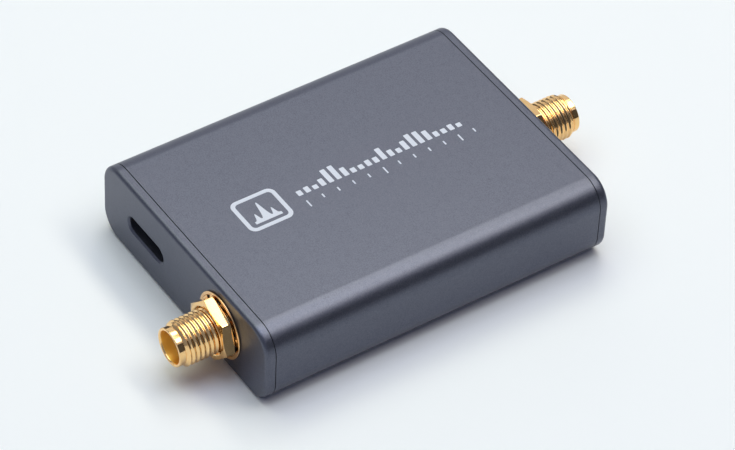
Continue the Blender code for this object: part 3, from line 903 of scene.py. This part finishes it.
def make_nut(end, side):
    """A hex nut, chamfered more on its front than its back, with a shallow thread in its bore."""
    node = f"{end}_hex_nut"
    low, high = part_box(node)
    start = min(abs(low.y), abs(high.y))
    height = high.y - low.y
    centre = node_centre(f"{end}_jack_body")
    turn = nut_turn(node, centre, side)
    matrix = outward_matrix(centre.x, side * start, side, centre.z)
    angles = turns(240, turn)
    corner = NUT_FLATS / math.sqrt(3)
    face = NUT_FLATS / 2 - 0.04 * MM
    front_chamfer, back_chamfer = 0.28 * MM, 0.16 * MM

    def to_side(a):
        return hexagon_radius(a, NUT_FLATS, turn)

    def share(radius):
        return (radius - face) / (corner - face)

    rings = [
        polar_ring(angles, lambda a: face, lambda r: 0.0),
        polar_ring(angles, to_side, lambda r: back_chamfer * share(r)),
        polar_ring(angles, to_side, lambda r: height - front_chamfer * share(r)),
        polar_ring(angles, lambda a: face, lambda r: height),
    ]
    bore = THREAD_RADIUS + 0.03 * MM
    groove_depth, lead_in = 0.22 * MM, 0.30 * MM
    rows = 28
    for row in range(rows + 1):
        level = height * (1 - row / rows)
        from_face = min(level, height - level)
        ring = []
        for a in angles:
            groove = groove_depth * thread_height((level / PITCH - a / math.tau) % 1.0)
            flare = max(0.0, lead_in - from_face)
            ring.append(polar(bore + max(groove, flare), a, level))
        rings.append(ring)
    nut = ring_surface(f"{end}_nut", rings, matrix)
    finished(nut, GOLD, f"{end}_nut", [node], smooth=12.0)


def nut_turn(node, centre, side):
    """The angle of one of the CAD nut's corners, in the outward frame."""
    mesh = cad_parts[node].data
    farthest = max(mesh.vertices, key=lambda v: math.hypot(v.co.x - centre.x, v.co.z - centre.z))
    return math.atan2(farthest.co.z - centre.z, -side * (farthest.co.x - centre.x))


def make_jacks():
    """Both jacks with their lock washers and nuts."""
    for end, side in (("front", -1), ("rear", 1)):
        node = f"{end}_jack_body"
        centre = node_centre(node)
        low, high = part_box(node)
        mouth = max(abs(low.y), abs(high.y)) - PANEL_Y
        face = mouth - MOUTH_DEPTH
        back = BOARD_HIGH.y + REST_GAP - PANEL_Y
        matrix = outward_matrix(centre.x, side * PANEL_Y, side, centre.z)
        make_jack_barrel(end, matrix, mouth, back + 0.2 * MM)
        make_jack_flange(end, side, matrix)
        make_jack_insulator(end, matrix, face, back)
        make_jack_contact(end, matrix, face, back)
        make_washer(end, side)
        make_nut(end, side)


# ---------------------------------------------------------------- USB-C receptacle


def make_usb_receptacle():
    """The drawn shell with its board wings, the moulding and the tongue's contacts."""
    low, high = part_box("usb_shell")
    centre = node_centre("usb_shell")
    width, length, height = high - low
    wall, corner = 0.3 * MM, 1.25 * MM
    matrix = outward_matrix(centre.x, high.y, -1, centre.z)
    outside = rounded_rectangle(width, height, corner)
    inside = rounded_rectangle(width - 2 * wall, height - 2 * wall, corner - wall)
    shell = extruded("usb_drawn_shell", [outside, inside], length, matrix, edge=0.07 * MM)
    wing = Vector((1.2, 1.1, 0.3)) * MM
    front_wing, rear_wing = low.y + 2.9 * MM, low.y + 6.1 * MM
    for side in (-1, 1):
        for y in (front_wing, rear_wing):
            root_x = centre.x + side * (width / 2 - wall / 2)
            z = BOARD_TOP + 0.02 * MM
            root = (root_x, y - wing.y / 2, z)
            tip = (root_x + side * wing.x, y + wing.y / 2, z + wing.z)
            combine(shell, cuboid("wing", root, tip, 0.05 * MM), "UNION")
    half, past = 0.55 * MM, 0.6 * MM
    shell_top = centre.z + height / 2
    for x in (centre.x - SPRING_OFFSET, centre.x + SPRING_OFFSET):
        window_low = (x - half, low.y + 1.6 * MM, shell_top - past)
        window_high = (x + half, low.y + 3.5 * MM, shell_top + past)
        combine(shell, cuboid("window", window_low, window_high))
    finished(shell, STEEL, "board", ["usb_shell"])
    make_usb_springs(centre, low.y, height / 2 - wall / 2)
    make_usb_core(centre, high.y)


def make_usb_springs(centre, mouth_y, shell_z):
    """The two sprung tongues bent down from the shell's top."""
    parts = []
    steps, half_sheet, length, dip = 8, 0.12 * MM, 1.85 * MM, 0.22 * MM
    for x in (centre.x - SPRING_OFFSET, centre.x + SPRING_OFFSET):
        rings = []
        for step in range(steps + 1):
            share = step / steps
            y = mouth_y + 1.55 * MM + share * length
            z = centre.z + shell_z - dip * math.sin(share * math.pi * 0.62)
            half = (0.36 - 0.06 * share) * MM
            corners = (
                (-half, -half_sheet),
                (half, -half_sheet),
                (half, half_sheet),
                (-half, half_sheet),
            )
            rings.append([(x + dx, y, z + dz) for dx, dz in corners])
        parts.append(ring_surface("spring", rings, closed_along=False))
    finished(joined("usb_shell_springs", parts), STEEL, "board")


def make_usb_core(centre, back_y):
    """The moulded block at the back of the shell, and its tongue with two rows of contacts."""
    block_length = 1.6 * MM
    low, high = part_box("usb_moulding")
    block_low = (low.x, back_y - block_length, low.z)
    core = cuboid("usb_core", block_low, (high.x, back_y, high.z), 0.15 * MM)
    tongue_half = Vector((3.35, 2.5, 0.35)) * MM
    tongue_end = back_y - block_length + 0.4 * MM
    tip_y = tongue_end - 2 * tongue_half.y
    tongue_low = (centre.x - tongue_half.x, tip_y, centre.z - tongue_half.z)
    tongue_high = (centre.x + tongue_half.x, tongue_end, centre.z + tongue_half.z)
    combine(core, cuboid("tongue", tongue_low, tongue_high, 0.12 * MM), "UNION")
    finished(core, BLACK, "board", ["usb_moulding"])
    pads = []
    for index in range(12):
        x = centre.x + (index - 5.5) * 0.5 * MM
        for side in (-1, 1):
            face_z = centre.z + side * tongue_half.z
            pad_low = (x - 0.13 * MM, tip_y + 0.35 * MM, face_z - 0.015 * MM)
            pad_high = (x + 0.13 * MM, tip_y + 3.2 * MM, face_z + 0.015 * MM)
            pads.append(cuboid("pad", pad_low, pad_high))
    finished(joined("usb_tongue_contacts", pads), GOLD, "board")


# ---------------------------------------------------------------- circuit board


def make_board():
    """The laminate with its masked faces, notched at the front for the USB receptacle."""
    shell_low, shell_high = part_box("usb_shell")
    gap = REST_GAP
    notch_back = shell_high.y + gap
    outline = [
        (BOARD_LOW.x, BOARD_LOW.y),
        (shell_low.x - gap, BOARD_LOW.y),
        (shell_low.x - gap, notch_back),
        (shell_high.x + gap, notch_back),
        (shell_high.x + gap, BOARD_LOW.y),
        (BOARD_HIGH.x, BOARD_LOW.y),
        (BOARD_HIGH.x, BOARD_HIGH.y),
        (BOARD_LOW.x, BOARD_HIGH.y),
    ]
    thickness = BOARD_HIGH.z - BOARD_LOW.z
    lift = Matrix.Translation((0.0, 0.0, BOARD_LOW.z))
    board = extruded("board_laminate", [outline], thickness, lift, edge=0.03 * MM)
    finished(board, MASK, "board", ["main_board"])
    make_stitching_vias()
    make_traces()


def make_stitching_vias():
    """Plated holes along the board's long edges and around the shield."""
    edge_vias, pitch, edge_x = 28, 1.5 * MM, 17.1 * MM
    shield_vias, shield_gap, margin = 12, 0.7 * MM, 1 * MM
    low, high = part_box("shield_fence")
    places = []
    for side in (-1, 1):
        for index in range(edge_vias):
            y = (index - (edge_vias - 1) / 2) * pitch
            beside_shield = side > 0 and low.y - margin < y < high.y + margin
            if not beside_shield:
                places.append((side * edge_x, y))
    for index in range(shield_vias):
        x = low.x + (index + 0.5) / shield_vias * (high.x - low.x)
        places.append((x, high.y + shield_gap))
        places.append((x, low.y - shield_gap))
    for index in range(shield_vias):
        y = low.y + (index + 0.5) / shield_vias * (high.y - low.y)
        places.append((low.x - shield_gap - 0.1 * MM, y))
    rings = []
    profile = [(0.14, -0.02), (0.14, 0.02), (0.27, 0.02), (0.28, -0.02)]
    for x, y in places:
        place = Matrix.Translation((x, y, BOARD_TOP))
        rings.append(lathe("via", [(r * MM, h * MM) for r, h in profile], place, steps=16))
    finished(joined("board_vias", rings), GOLD, "board")


def ribbon(points, width, height=0.03 * MM):
    """A flat track through (x, y) points on the board's top, mitred at each bend."""
    rings = []
    count = len(points)
    for i, point in enumerate(points):
        here = Vector(point)
        before = (here - Vector(points[i - 1])).normalized() if i else None
        after = (Vector(points[i + 1]) - here).normalized() if i + 1 < count else None
        direction = ((before or after) + (after or before)).normalized()
        stretch = 1 / max(0.5, direction.dot(after or before))
        across = Vector((-direction.y, direction.x)) * width / 2 * stretch
        left, right = here + across, here - across
        top, bottom = BOARD_TOP + height, BOARD_TOP - 0.01 * MM
        rings.append([(*left, bottom), (*right, bottom), (*right, top), (*left, top)])
    return ring_surface("track", rings, closed_along=False)


def bus(start, end, count, pitch, width):
    """Parallel tracks between two rows of points, with 45 degree bends; pitch and width in mm."""
    tracks = []
    for index in range(count):
        offset = (index - (count - 1) / 2) * (pitch * MM)
        first = Vector((start[0] + offset, start[1]))
        last = Vector((end[0] + offset, end[1]))
        shift = last.x - first.x
        middle = (first.y + last.y) / 2
        rise = abs(shift) / 2 * (1 if last.y > first.y else -1)
        bends = [(first.x, middle - rise), (last.x, middle + rise)]
        tracks.append(ribbon([(first.x, first.y), *bends, (last.x, last.y)], width * MM))
    return tracks


def beside(node, across=0.0, along=0.0):
    """A point on the board, in millimetres from a component's middle."""
    low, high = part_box(node)
    return ((low.x + high.x) / 2 + across * MM, (low.y + high.y) / 2 + along * MM)


def make_traces():
    """Tracks under the mask: the data buses, the supply and the coaxial ports' wide lines."""
    chip, usb_chip, regulator = "processor_chip", "usb_protection_chip", "regulator_chip"
    tracks = bus(beside("converter_chip", 0.0, 2.6), beside(chip, 0.0, -5.2), 8, 0.5, 0.2)
    tracks += bus(beside(chip, -3.4, 5.2), beside("flash_chip", 0.0, -2.2), 5, 0.6, 0.2)
    tracks += bus(beside(chip, 1.2, 5.2), beside("processor_crystal", 0.6, -1.4), 2, 0.8, 0.2)
    tracks += bus(beside(usb_chip, -0.4, 1.1), beside(chip, -3.0, -5.2), 2, 0.45, 0.22)
    tracks += bus(beside("power_inductor", 0.0, 2.2), beside(regulator, 0.0, -1.6), 1, 1.0, 1.2)
    board_end = 22.6 * MM
    for port, inner, side in (
        ("input_coupling_capacitor", "input_attenuator", -1),
        ("output_coupling_capacitor", "output_amplifier", 1),
    ):
        x = beside(port)[0]
        tracks.append(ribbon([(x, side * board_end), (x, beside(inner)[1])], 0.9 * MM))
    tracks += bus(beside("output_filter"), beside("output_amplifier"), 1, 0.6, 0.6)
    finished(joined("board_tracks", tracks), TRACK, "board")


# ---------------------------------------------------------------- components


# Small meshes are gathered in these lists, and each list becomes one piece.
TERMINALS = []
SOLDER_PADS = []
PASSIVE_BODIES = []
PASSIVE_ENDS = []
MARKS = []


def solder_pad(x, y, width, length):
    """A thin rectangle of solder on the board."""
    low = (x - width / 2, y - length / 2, BOARD_TOP - 0.01 * MM)
    high = (x + width / 2, y + length / 2, BOARD_TOP + 0.03 * MM)
    SOLDER_PADS.append(cuboid("solder_pad", low, high))


def pin_one_mark(x, y, z):
    """A small printed dot."""
    axis, radius, top, bottom = 0.001 * MM, 0.2 * MM, 0.012 * MM, -0.02 * MM
    profile = [(axis, top), (radius, top), (radius, bottom), (axis, bottom)]
    MARKS.append(lathe("mark", profile, Matrix.Translation((x, y, z)), steps=20))


def flat_chip(node, pads):
    """A leadless package: a moulded body over terminals that show along its four sides."""
    low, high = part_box(node)
    body = cuboid(f"{node}_package", (low.x, low.y, low.z + 0.03 * MM), high, 0.05 * MM)
    axis, top, bottom = 0.001 * MM, 0.3 * MM, -0.06 * MM
    profile = [(axis, top), (0.24 * MM, top), (0.20 * MM, bottom), (axis, bottom)]
    corner = Matrix.Translation((low.x + 0.55 * MM, high.y - 0.55 * MM, high.z))
    dish = lathe("dish", profile, corner, steps=24)
    combine(body, dish)
    finished(body, RESIN, "board", [node])
    pin_one_mark(low.x - 0.45 * MM, high.y + 0.1 * MM, BOARD_TOP)
    middle = (low + high) / 2
    across, along = high.x - low.x, high.y - low.y
    width, reach, top = 0.24 * MM, 0.3 * MM, low.z + 0.2 * MM
    for index in range(pads):
        share = (index + 1) / (pads + 1) - 0.5
        for side in (-1, 1):
            x, y = middle.x + share * across, middle.y + side * (along / 2 - reach / 2 + 0.02 * MM)
            terminal(x, y, width, reach, top)
            solder_pad(x, middle.y + side * (along / 2 + 0.12 * MM), width + 0.04 * MM, 0.5 * MM)
            x, y = middle.x + side * (across / 2 - reach / 2 + 0.02 * MM), middle.y + share * along
            terminal(x, y, reach, width, top)
            solder_pad(middle.x + side * (across / 2 + 0.12 * MM), y, 0.5 * MM, width + 0.04 * MM)


def terminal(x, y, width, length, top):
    """A flat metal contact at the edge of a leadless package."""
    low = (x - width / 2, y - length / 2, BOARD_TOP + 0.01 * MM)
    TERMINALS.append(cuboid("terminal", low, (x + width / 2, y + length / 2, top)))


def leaded_chip(node, leads):
    """A small-outline package with gull-wing leads on its two short sides."""
    low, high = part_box(node)
    lift = 0.12 * MM
    waist = 0.12 * MM
    middle_z = (low.z + lift + high.z) / 2
    size_x, size_y = high.x - low.x, high.y - low.y
    centre = beside(node)
    rings = []
    for inset, z in ((waist, low.z + lift), (0.0, middle_z), (waist, high.z)):
        width, length = size_x - 2 * inset, size_y - 2 * inset
        outline = rounded_rectangle(width, length, 0.15 * MM, centre, steps=4)
        rings.append([(x, y, z) for x, y in outline])
    body = ring_surface(f"{node}_package", rings, closed_along=False)
    finished(body, RESIN, "board", [node])
    pin_one_mark(low.x + 0.6 * MM, high.y - 0.6 * MM, high.z)
    for index in range(leads):
        y = centre[1] + (index - (leads - 1) / 2) * size_y / leads
        for side in (-1, 1):
            TERMINALS.append(gull_wing(centre[0] + side * size_x / 2, y, side, middle_z))


def gull_wing(x, y, side, shoulder_z):
    """A lead that leaves the package level, bends down and ends in a flat foot."""
    half, sheet = 0.2 * MM, 0.15 * MM
    foot_z = BOARD_TOP + 0.04 * MM
    path = [(-0.1, shoulder_z), (0.18, shoulder_z), (0.34, foot_z), (0.75, foot_z)]
    left, right = y - half, y + half
    rings = []
    for out, z in path:
        px = x + side * out * MM
        top = z + sheet
        rings.append([(px, left, z), (px, right, z), (px, right, top), (px, left, top)])
    solder_pad(x + side * 0.55 * MM, y, 0.6 * MM, 0.5 * MM)
    return ring_surface("lead", rings, closed_along=False)


def metal_can(node, finish):
    """A hermetic package: a ceramic base with a seam-welded lid."""
    low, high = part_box(node)
    split = low.z + 0.6 * (high.z - low.z)
    base = cuboid(f"{node}_base", (low.x, low.y, low.z), (high.x, high.y, split), 0.08 * MM)
    finished(base, CERAMIC, "board", [node])
    rim = 0.18 * MM
    lid_low = (low.x + rim, low.y + rim, split - 0.05 * MM)
    lid_high = (high.x - rim, high.y - rim, high.z)
    lid = cuboid(f"{node}_lid", lid_low, lid_high, 0.10 * MM, segments=3)
    finished(lid, finish, "board")
    for x in (low.x + 0.4 * MM, high.x - 0.4 * MM):
        for y in (low.y + 0.4 * MM, high.y - 0.4 * MM):
            solder_pad(x, y, 1.1 * MM, 1.0 * MM)


def end_capped(low, high, along_y, cap):
    """A two-terminal body and the two metal caps over its ends."""
    inset = 0.03 * MM
    axis = 1 if along_y else 0
    body_low, body_high = Vector(low), Vector(high)
    for k in range(3):
        body_low[k] += inset if k != axis else cap * 0.5
        body_high[k] -= inset if k != axis else cap * 0.5
    body = cuboid("body", body_low, body_high, 0.03 * MM)
    caps = []
    for side in (0, 1):
        cap_low, cap_high = Vector(low), Vector(high)
        if side:
            cap_low[axis] = high[axis] - cap
        else:
            cap_high[axis] = low[axis] + cap
        caps.append(cuboid("cap", cap_low, cap_high, 0.06 * MM))
    return body, caps


def end_pads(middle, reach, width, length, along_y):
    """A solder pad on each side of a middle point, reach away from it."""
    for side in (-1, 1):
        if along_y:
            solder_pad(middle[0], middle[1] + side * reach, width, length)
        else:
            solder_pad(middle[0] + side * reach, middle[1], length, width)


def two_terminal(node, material, cap=0.35 * MM):
    """A capacitor, bead or inductor with metal ends, in place of its CAD node."""
    low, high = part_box(node)
    low.z = BOARD_TOP + 0.03 * MM
    short, long = sorted((high.x - low.x, high.y - low.y))
    along_y = high.y - low.y == long
    body, caps = end_capped(low, high, along_y, cap)
    body.name = f"{node}_body"
    finished(body, material, "board", [node])
    PASSIVE_ENDS.extend(caps)
    end_pads((low + high) / 2, long / 2, short, 0.9 * MM, along_y)


def passive_row(start, step, count, along_y):
    """A row of small chip capacitors; positions in millimetres on the board."""
    for index in range(count):
        x = (start[0] + index * step[0]) * MM
        y = (start[1] + index * step[1]) * MM
        half = Vector((0.25, 0.5, 0.0)) * MM if along_y else Vector((0.5, 0.25, 0.0)) * MM
        low = Vector((x, y, BOARD_TOP + 0.03 * MM)) - half
        high = Vector((x, y, BOARD_TOP + 0.4 * MM)) + half
        body, caps = end_capped(low, high, along_y, 0.24 * MM)
        PASSIVE_BODIES.append(body)
        PASSIVE_ENDS.extend(caps)
        end_pads((x, y), 0.5 * MM, 0.55 * MM, 0.5 * MM, along_y)


def make_power_inductor():
    """A pressed block with its rounded edges and two terminals folded under its ends."""
    low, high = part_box("power_inductor")
    bottom = (low.x, low.y, low.z + 0.05 * MM)
    block = cuboid("power_inductor_block", bottom, high, 0.32 * MM, segments=4)
    finished(block, FERRITE, "board", ["power_inductor"])
    middle = (low + high) / 2
    for side in (-1, 1):
        x = middle.x + side * (high.x - low.x) / 2
        inner = (x - side * 0.55 * MM, middle.y - 1.1 * MM, BOARD_TOP + 0.02 * MM)
        outer = (x + side * 0.12 * MM, middle.y + 1.1 * MM, low.z + 0.75 * MM)
        TERMINALS.append(cuboid("clip", inner, outer, 0.05 * MM))
        solder_pad(x, middle.y, 1.3 * MM, 2.6 * MM)


def make_small_parts():
    """Decoupling capacitors in rows beside the chips that they serve."""
    for row in (
        ((-15.7, 0.2), (0.0, 1.9), 5, False),
        ((-2.7, 0.2), (0.0, 1.9), 5, False),
        ((-13.2, 10.3), (2.0, 0.0), 2, True),
        ((-11.3, -8.2), (0.0, 1.4), 4, False),
        ((-3.2, -8.4), (0.0, 1.5), 4, False),
        ((-15.9, 10.8), (0.0, 1.6), 3, False),
        ((12.6, 7.2), (0.0, 1.4), 4, False),
        ((6.4, 17.6), (1.5, 0.0), 6, True),
        ((-4.2, 11.6), (0.0, 1.5), 4, False),
        ((2.6, 16.6), (0.0, 1.3), 3, False),
        ((12.4, -18.2), (1.3, 0.0), 3, True),
        ((6.4, -12.6), (0.0, 1.3), 2, False),
        ((12.4, -12.6), (0.0, 1.3), 2, False),
        ((12.2, -7.4), (0.0, 1.5), 2, False),
    ):
        passive_row(*row)


def make_shield():
    """The soldered fence and the clip-on lid with its vent holes and dimples."""
    low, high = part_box("shield_fence")
    centre = beside("shield_fence")
    size = (high.x - low.x, high.y - low.y)
    wall = 0.25 * MM
    outside = rounded_rectangle(*size, 0.6 * MM, centre, steps=8)
    inside = rounded_rectangle(size[0] - 2 * wall, size[1] - 2 * wall, 0.35 * MM, centre, steps=8)
    sunk = 0.08 * MM
    lift = Matrix.Translation((0.0, 0.0, low.z - sunk))
    height = high.z - low.z + sunk
    fence = extruded("radio_shield_fence", [outside, inside], height, lift, edge=0.05 * MM)
    finished(fence, TIN, "board", ["shield_fence"])
    make_shield_lid()


def make_shield_lid():
    """A flat sheet with vent holes, a folded skirt and dimples that grip the fence."""
    low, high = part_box("shield_lid")
    sheet, bend = 0.2 * MM, 0.3 * MM
    centre = beside("shield_lid")
    size = (high.x - low.x, high.y - low.y)
    holes = []
    for column in range(5):
        for row in range(6):
            x = centre[0] + (column - 2) * 2.9 * MM
            y = centre[1] + (row - 2.5) * 2.9 * MM
            holes.append(circle(0.55 * MM, 24, (x, y)))
    flat = rounded_rectangle(size[0] - 2 * bend, size[1] - 2 * bend, 0.3 * MM, centre, steps=6)
    plate = extruded("plate", [flat] + holes, sheet, Matrix.Translation((0.0, 0.0, high.z - sheet)))
    skirt_rings = []
    section = [(0.0, low.z), (0.0, high.z - bend)]
    section += [(bend - x, z) for x, z in arc((0.0, high.z - bend), bend, 0, 90, 5)]
    section += [(bend, high.z - sheet), (sheet + 0.05 * MM, high.z - sheet)]
    section += [(sheet, high.z - bend), (sheet, low.z)]
    for inset, z in section:
        corner = max(0.05 * MM, 0.6 * MM - inset)
        width, length = size[0] - 2 * inset, size[1] - 2 * inset
        outline = rounded_rectangle(width, length, corner, centre, steps=6)
        skirt_rings.append([(x, y, z) for x, y in outline])
    skirt = ring_surface("skirt", skirt_rings)
    dimples = []
    for side in (-1, 1):
        for index in range(4):
            y = centre[1] + (index - 1.5) * 4.6 * MM
            dimples.append(dimple((centre[0] + side * size[0] / 2, y, low.z + 0.5 * MM), "X"))
        for index in range(3):
            x = centre[0] + (index - 1) * 5.0 * MM
            dimples.append(dimple((x, centre[1] + side * size[1] / 2, low.z + 0.5 * MM), "Y"))
    lid = joined("radio_shield_lid", [plate, skirt] + dimples)
    finished(lid, TIN, "board", ["shield_lid"])


def dimple(place, axis):
    """A shallow round boss pressed into the lid's skirt."""
    axis_radius, rim = 0.001 * MM, 0.28 * MM
    profile = [(axis_radius, 0.07 * MM), (0.16 * MM, 0.06 * MM), (rim, 0.0)]
    profile += [(rim, -0.05 * MM), (axis_radius, -0.05 * MM)]
    centre_x, centre_y = beside("shield_lid")
    if axis == "X":
        turn = math.pi / 2 if place[0] > centre_x else -math.pi / 2
        rotation = Matrix.Rotation(turn, 4, "Y")
    else:
        turn = -math.pi / 2 if place[1] > centre_y else math.pi / 2
        rotation = Matrix.Rotation(turn, 4, "X")
    return lathe("dimple", profile, Matrix.Translation(place) @ rotation, steps=20)


def make_components():
    """Every part on the board, each in place of its CAD node."""
    for node, pads in (
        ("input_attenuator", 4),
        ("first_mixer", 4),
        ("synthesizer_chip", 7),
        ("intermediate_amplifier", 3),
        ("output_amplifier", 3),
        ("usb_protection_chip", 3),
        ("regulator_chip", 3),
        ("converter_chip", 8),
        ("processor_chip", 16),
    ):
        flat_chip(node, pads)
    leaded_chip("flash_chip", 4)
    metal_can("intermediate_filter", CAN)
    metal_can("reference_oscillator", CAN)
    metal_can("processor_crystal", CAN)
    two_terminal("input_coupling_capacitor", CERAMIC)
    two_terminal("output_coupling_capacitor", CERAMIC)
    two_terminal("output_filter", CERAMIC, 0.5 * MM)
    two_terminal("bulk_capacitor", CERAMIC, 0.55 * MM)
    two_terminal("supply_bead", FERRITE)
    make_power_inductor()
    make_small_parts()
    finished(joined("chip_terminals", TERMINALS), TIN, "board")
    finished(joined("solder_pads", SOLDER_PADS), SOLDER, "board")
    bodies = joined("small_capacitor_bodies", PASSIVE_BODIES)
    finished(bodies, CERAMIC, "board")
    finished(joined("small_part_ends", PASSIVE_ENDS), TIN, "board")
    finished(joined("pin_one_marks", MARKS), INK, "board")


# ---------------------------------------------------------------- floor, light and camera


def make_floor():
    """A pale sheet just under the case."""
    shape = bmesh.new()
    bmesh.ops.create_grid(shape, x_segments=2, y_segments=2, size=3.0)
    bmesh.ops.translate(shape, vec=(0.0, 0.0, -0.02 * MM), verts=shape.verts)
    floor = from_bmesh("floor", shape)
    floor.data.materials.append(floor_paper())


def direction(azimuth, elevation):
    """A unit vector; degrees from +X towards +Y, and degrees above the floor."""
    turn, rise = math.radians(azimuth), math.radians(elevation)
    flat = math.cos(rise)
    return Vector((flat * math.cos(turn), flat * math.sin(turn), math.sin(rise)))


def add_softbox(name, azimuth, elevation, width, height, radiance, color=(1.0, 1.0, 1.0)):
    """A rectangular light, its direction and its size given in degrees."""
    towards = direction(azimuth, elevation)
    light = bpy.data.lights.new(name, "AREA")
    light.shape = "RECTANGLE"
    light.size = 2 * LIGHT_DISTANCE * math.tan(math.radians(width / 2))
    light.size_y = 2 * LIGHT_DISTANCE * math.tan(math.radians(height / 2))
    light.energy = math.pi * light.size * light.size_y * radiance
    light.color = color
    obj = bpy.data.objects.new(name, light)
    bpy.context.scene.collection.objects.link(obj)
    obj.location = towards * LIGHT_DISTANCE
    obj.rotation_euler = (-towards).to_track_quat("-Z", "Y").to_euler()


def make_lights():
    """Softboxes over the rear, overhead and to the left, with weaker panels around them."""
    add_softbox("rear_softbox", 90, 64, 60, 11, 4.95, (1.0, 0.94, 0.78))
    add_softbox("rear_right_softbox", 64, 62, 22, 14, 1.9, (0.95, 0.97, 0.90))
    add_softbox("top_softbox", 90, 88, 28, 30, 4.1, (0.73, 0.80, 0.95))
    add_softbox("front_softbox", -105, 60, 40, 20, 1.55, (0.84, 0.92, 1.0))
    add_softbox("left_softbox", -168, 62, 34, 26, 2.0, (0.93, 1.0, 0.70))
    add_softbox("rear_left_softbox", 150, 58, 30, 22, 1.55)
    add_softbox("rear_left_panel", 152, 24, 32, 44, 0.48)
    add_softbox("left_panel", -168, 20, 50, 24, 0.35, (1.0, 0.95, 0.80))
    add_softbox("right_panel", 24, 58, 34, 28, 0.75, (0.80, 0.80, 1.0))


def make_world():
    """A dim bluish room with a dark corner behind the right side, and a pale backdrop."""
    ambient = (0.064, 0.066, 0.115, 1.0)
    room = (0.25, 0.27, 0.35, 1.0)
    corner = (0.070, 0.073, 0.092, 1.0)
    world = bpy.data.worlds.new("studio")
    world.use_nodes = True
    tree = world.node_tree
    closeness = tree.nodes.new("ShaderNodeVectorMath")
    closeness.operation = "DOT_PRODUCT"
    closeness.inputs[1].default_value = direction(32, 22)
    coordinates = tree.nodes.new("ShaderNodeTexCoord")
    tree.links.new(coordinates.outputs["Generated"], closeness.inputs[0])
    inside = tree.nodes.new("ShaderNodeMapRange")
    inside.inputs["From Min"].default_value = math.cos(math.radians(38))
    inside.inputs["From Max"].default_value = math.cos(math.radians(30))
    tree.links.new(closeness.outputs["Value"], inside.inputs["Value"])
    reflected = tree.nodes.new("ShaderNodeMixRGB")
    reflected.inputs["Color1"].default_value = room
    reflected.inputs["Color2"].default_value = corner
    tree.links.new(inside.outputs["Result"], reflected.inputs["Fac"])
    path = tree.nodes.new("ShaderNodeLightPath")
    seen = reflected
    for ray, color in (("Is Diffuse Ray", ambient), ("Is Camera Ray", BACKDROP)):
        choice = tree.nodes.new("ShaderNodeMixRGB")
        choice.inputs["Color2"].default_value = color
        tree.links.new(seen.outputs["Color"], choice.inputs["Color1"])
        tree.links.new(path.outputs[ray], choice.inputs["Fac"])
        seen = choice
    tree.links.new(seen.outputs["Color"], tree.nodes["Background"].inputs["Color"])
    bpy.context.scene.world = world


def make_camera():
    """A long lens from above the front right corner, rolled very slightly."""
    flat = math.cos(CAMERA_ELEVATION)
    aside, towards = math.sin(CAMERA_AZIMUTH) * flat, -math.cos(CAMERA_AZIMUTH) * flat
    back = Vector((aside, towards, math.sin(CAMERA_ELEVATION)))
    level_right = Vector((0.0, 0.0, 1.0)).cross(back).normalized()
    level_up = back.cross(level_right)
    right = math.cos(CAMERA_ROLL) * level_right + math.sin(CAMERA_ROLL) * level_up
    up = back.cross(right)
    camera = bpy.data.cameras.new("camera")
    camera.sensor_width = 36.0
    camera.lens = CAMERA_LENS
    camera.clip_start = 0.01
    obj = bpy.data.objects.new("camera", camera)
    bpy.context.scene.collection.objects.link(obj)
    turn = Matrix((right, up, back)).transposed().to_4x4()
    place = right * CAMERA_OFFSET[0] + up * CAMERA_OFFSET[1] + back * CAMERA_DISTANCE
    obj.matrix_world = Matrix.Translation(place) @ turn
    bpy.context.scene.camera = obj


make_sleeve()
make_caps()
make_print()
make_jacks()
make_usb_receptacle()
make_board()
make_shield()
make_components()
make_floor()
make_lights()
make_world()
make_camera()
bpy.context.scene.view_settings.view_transform = "Standard"
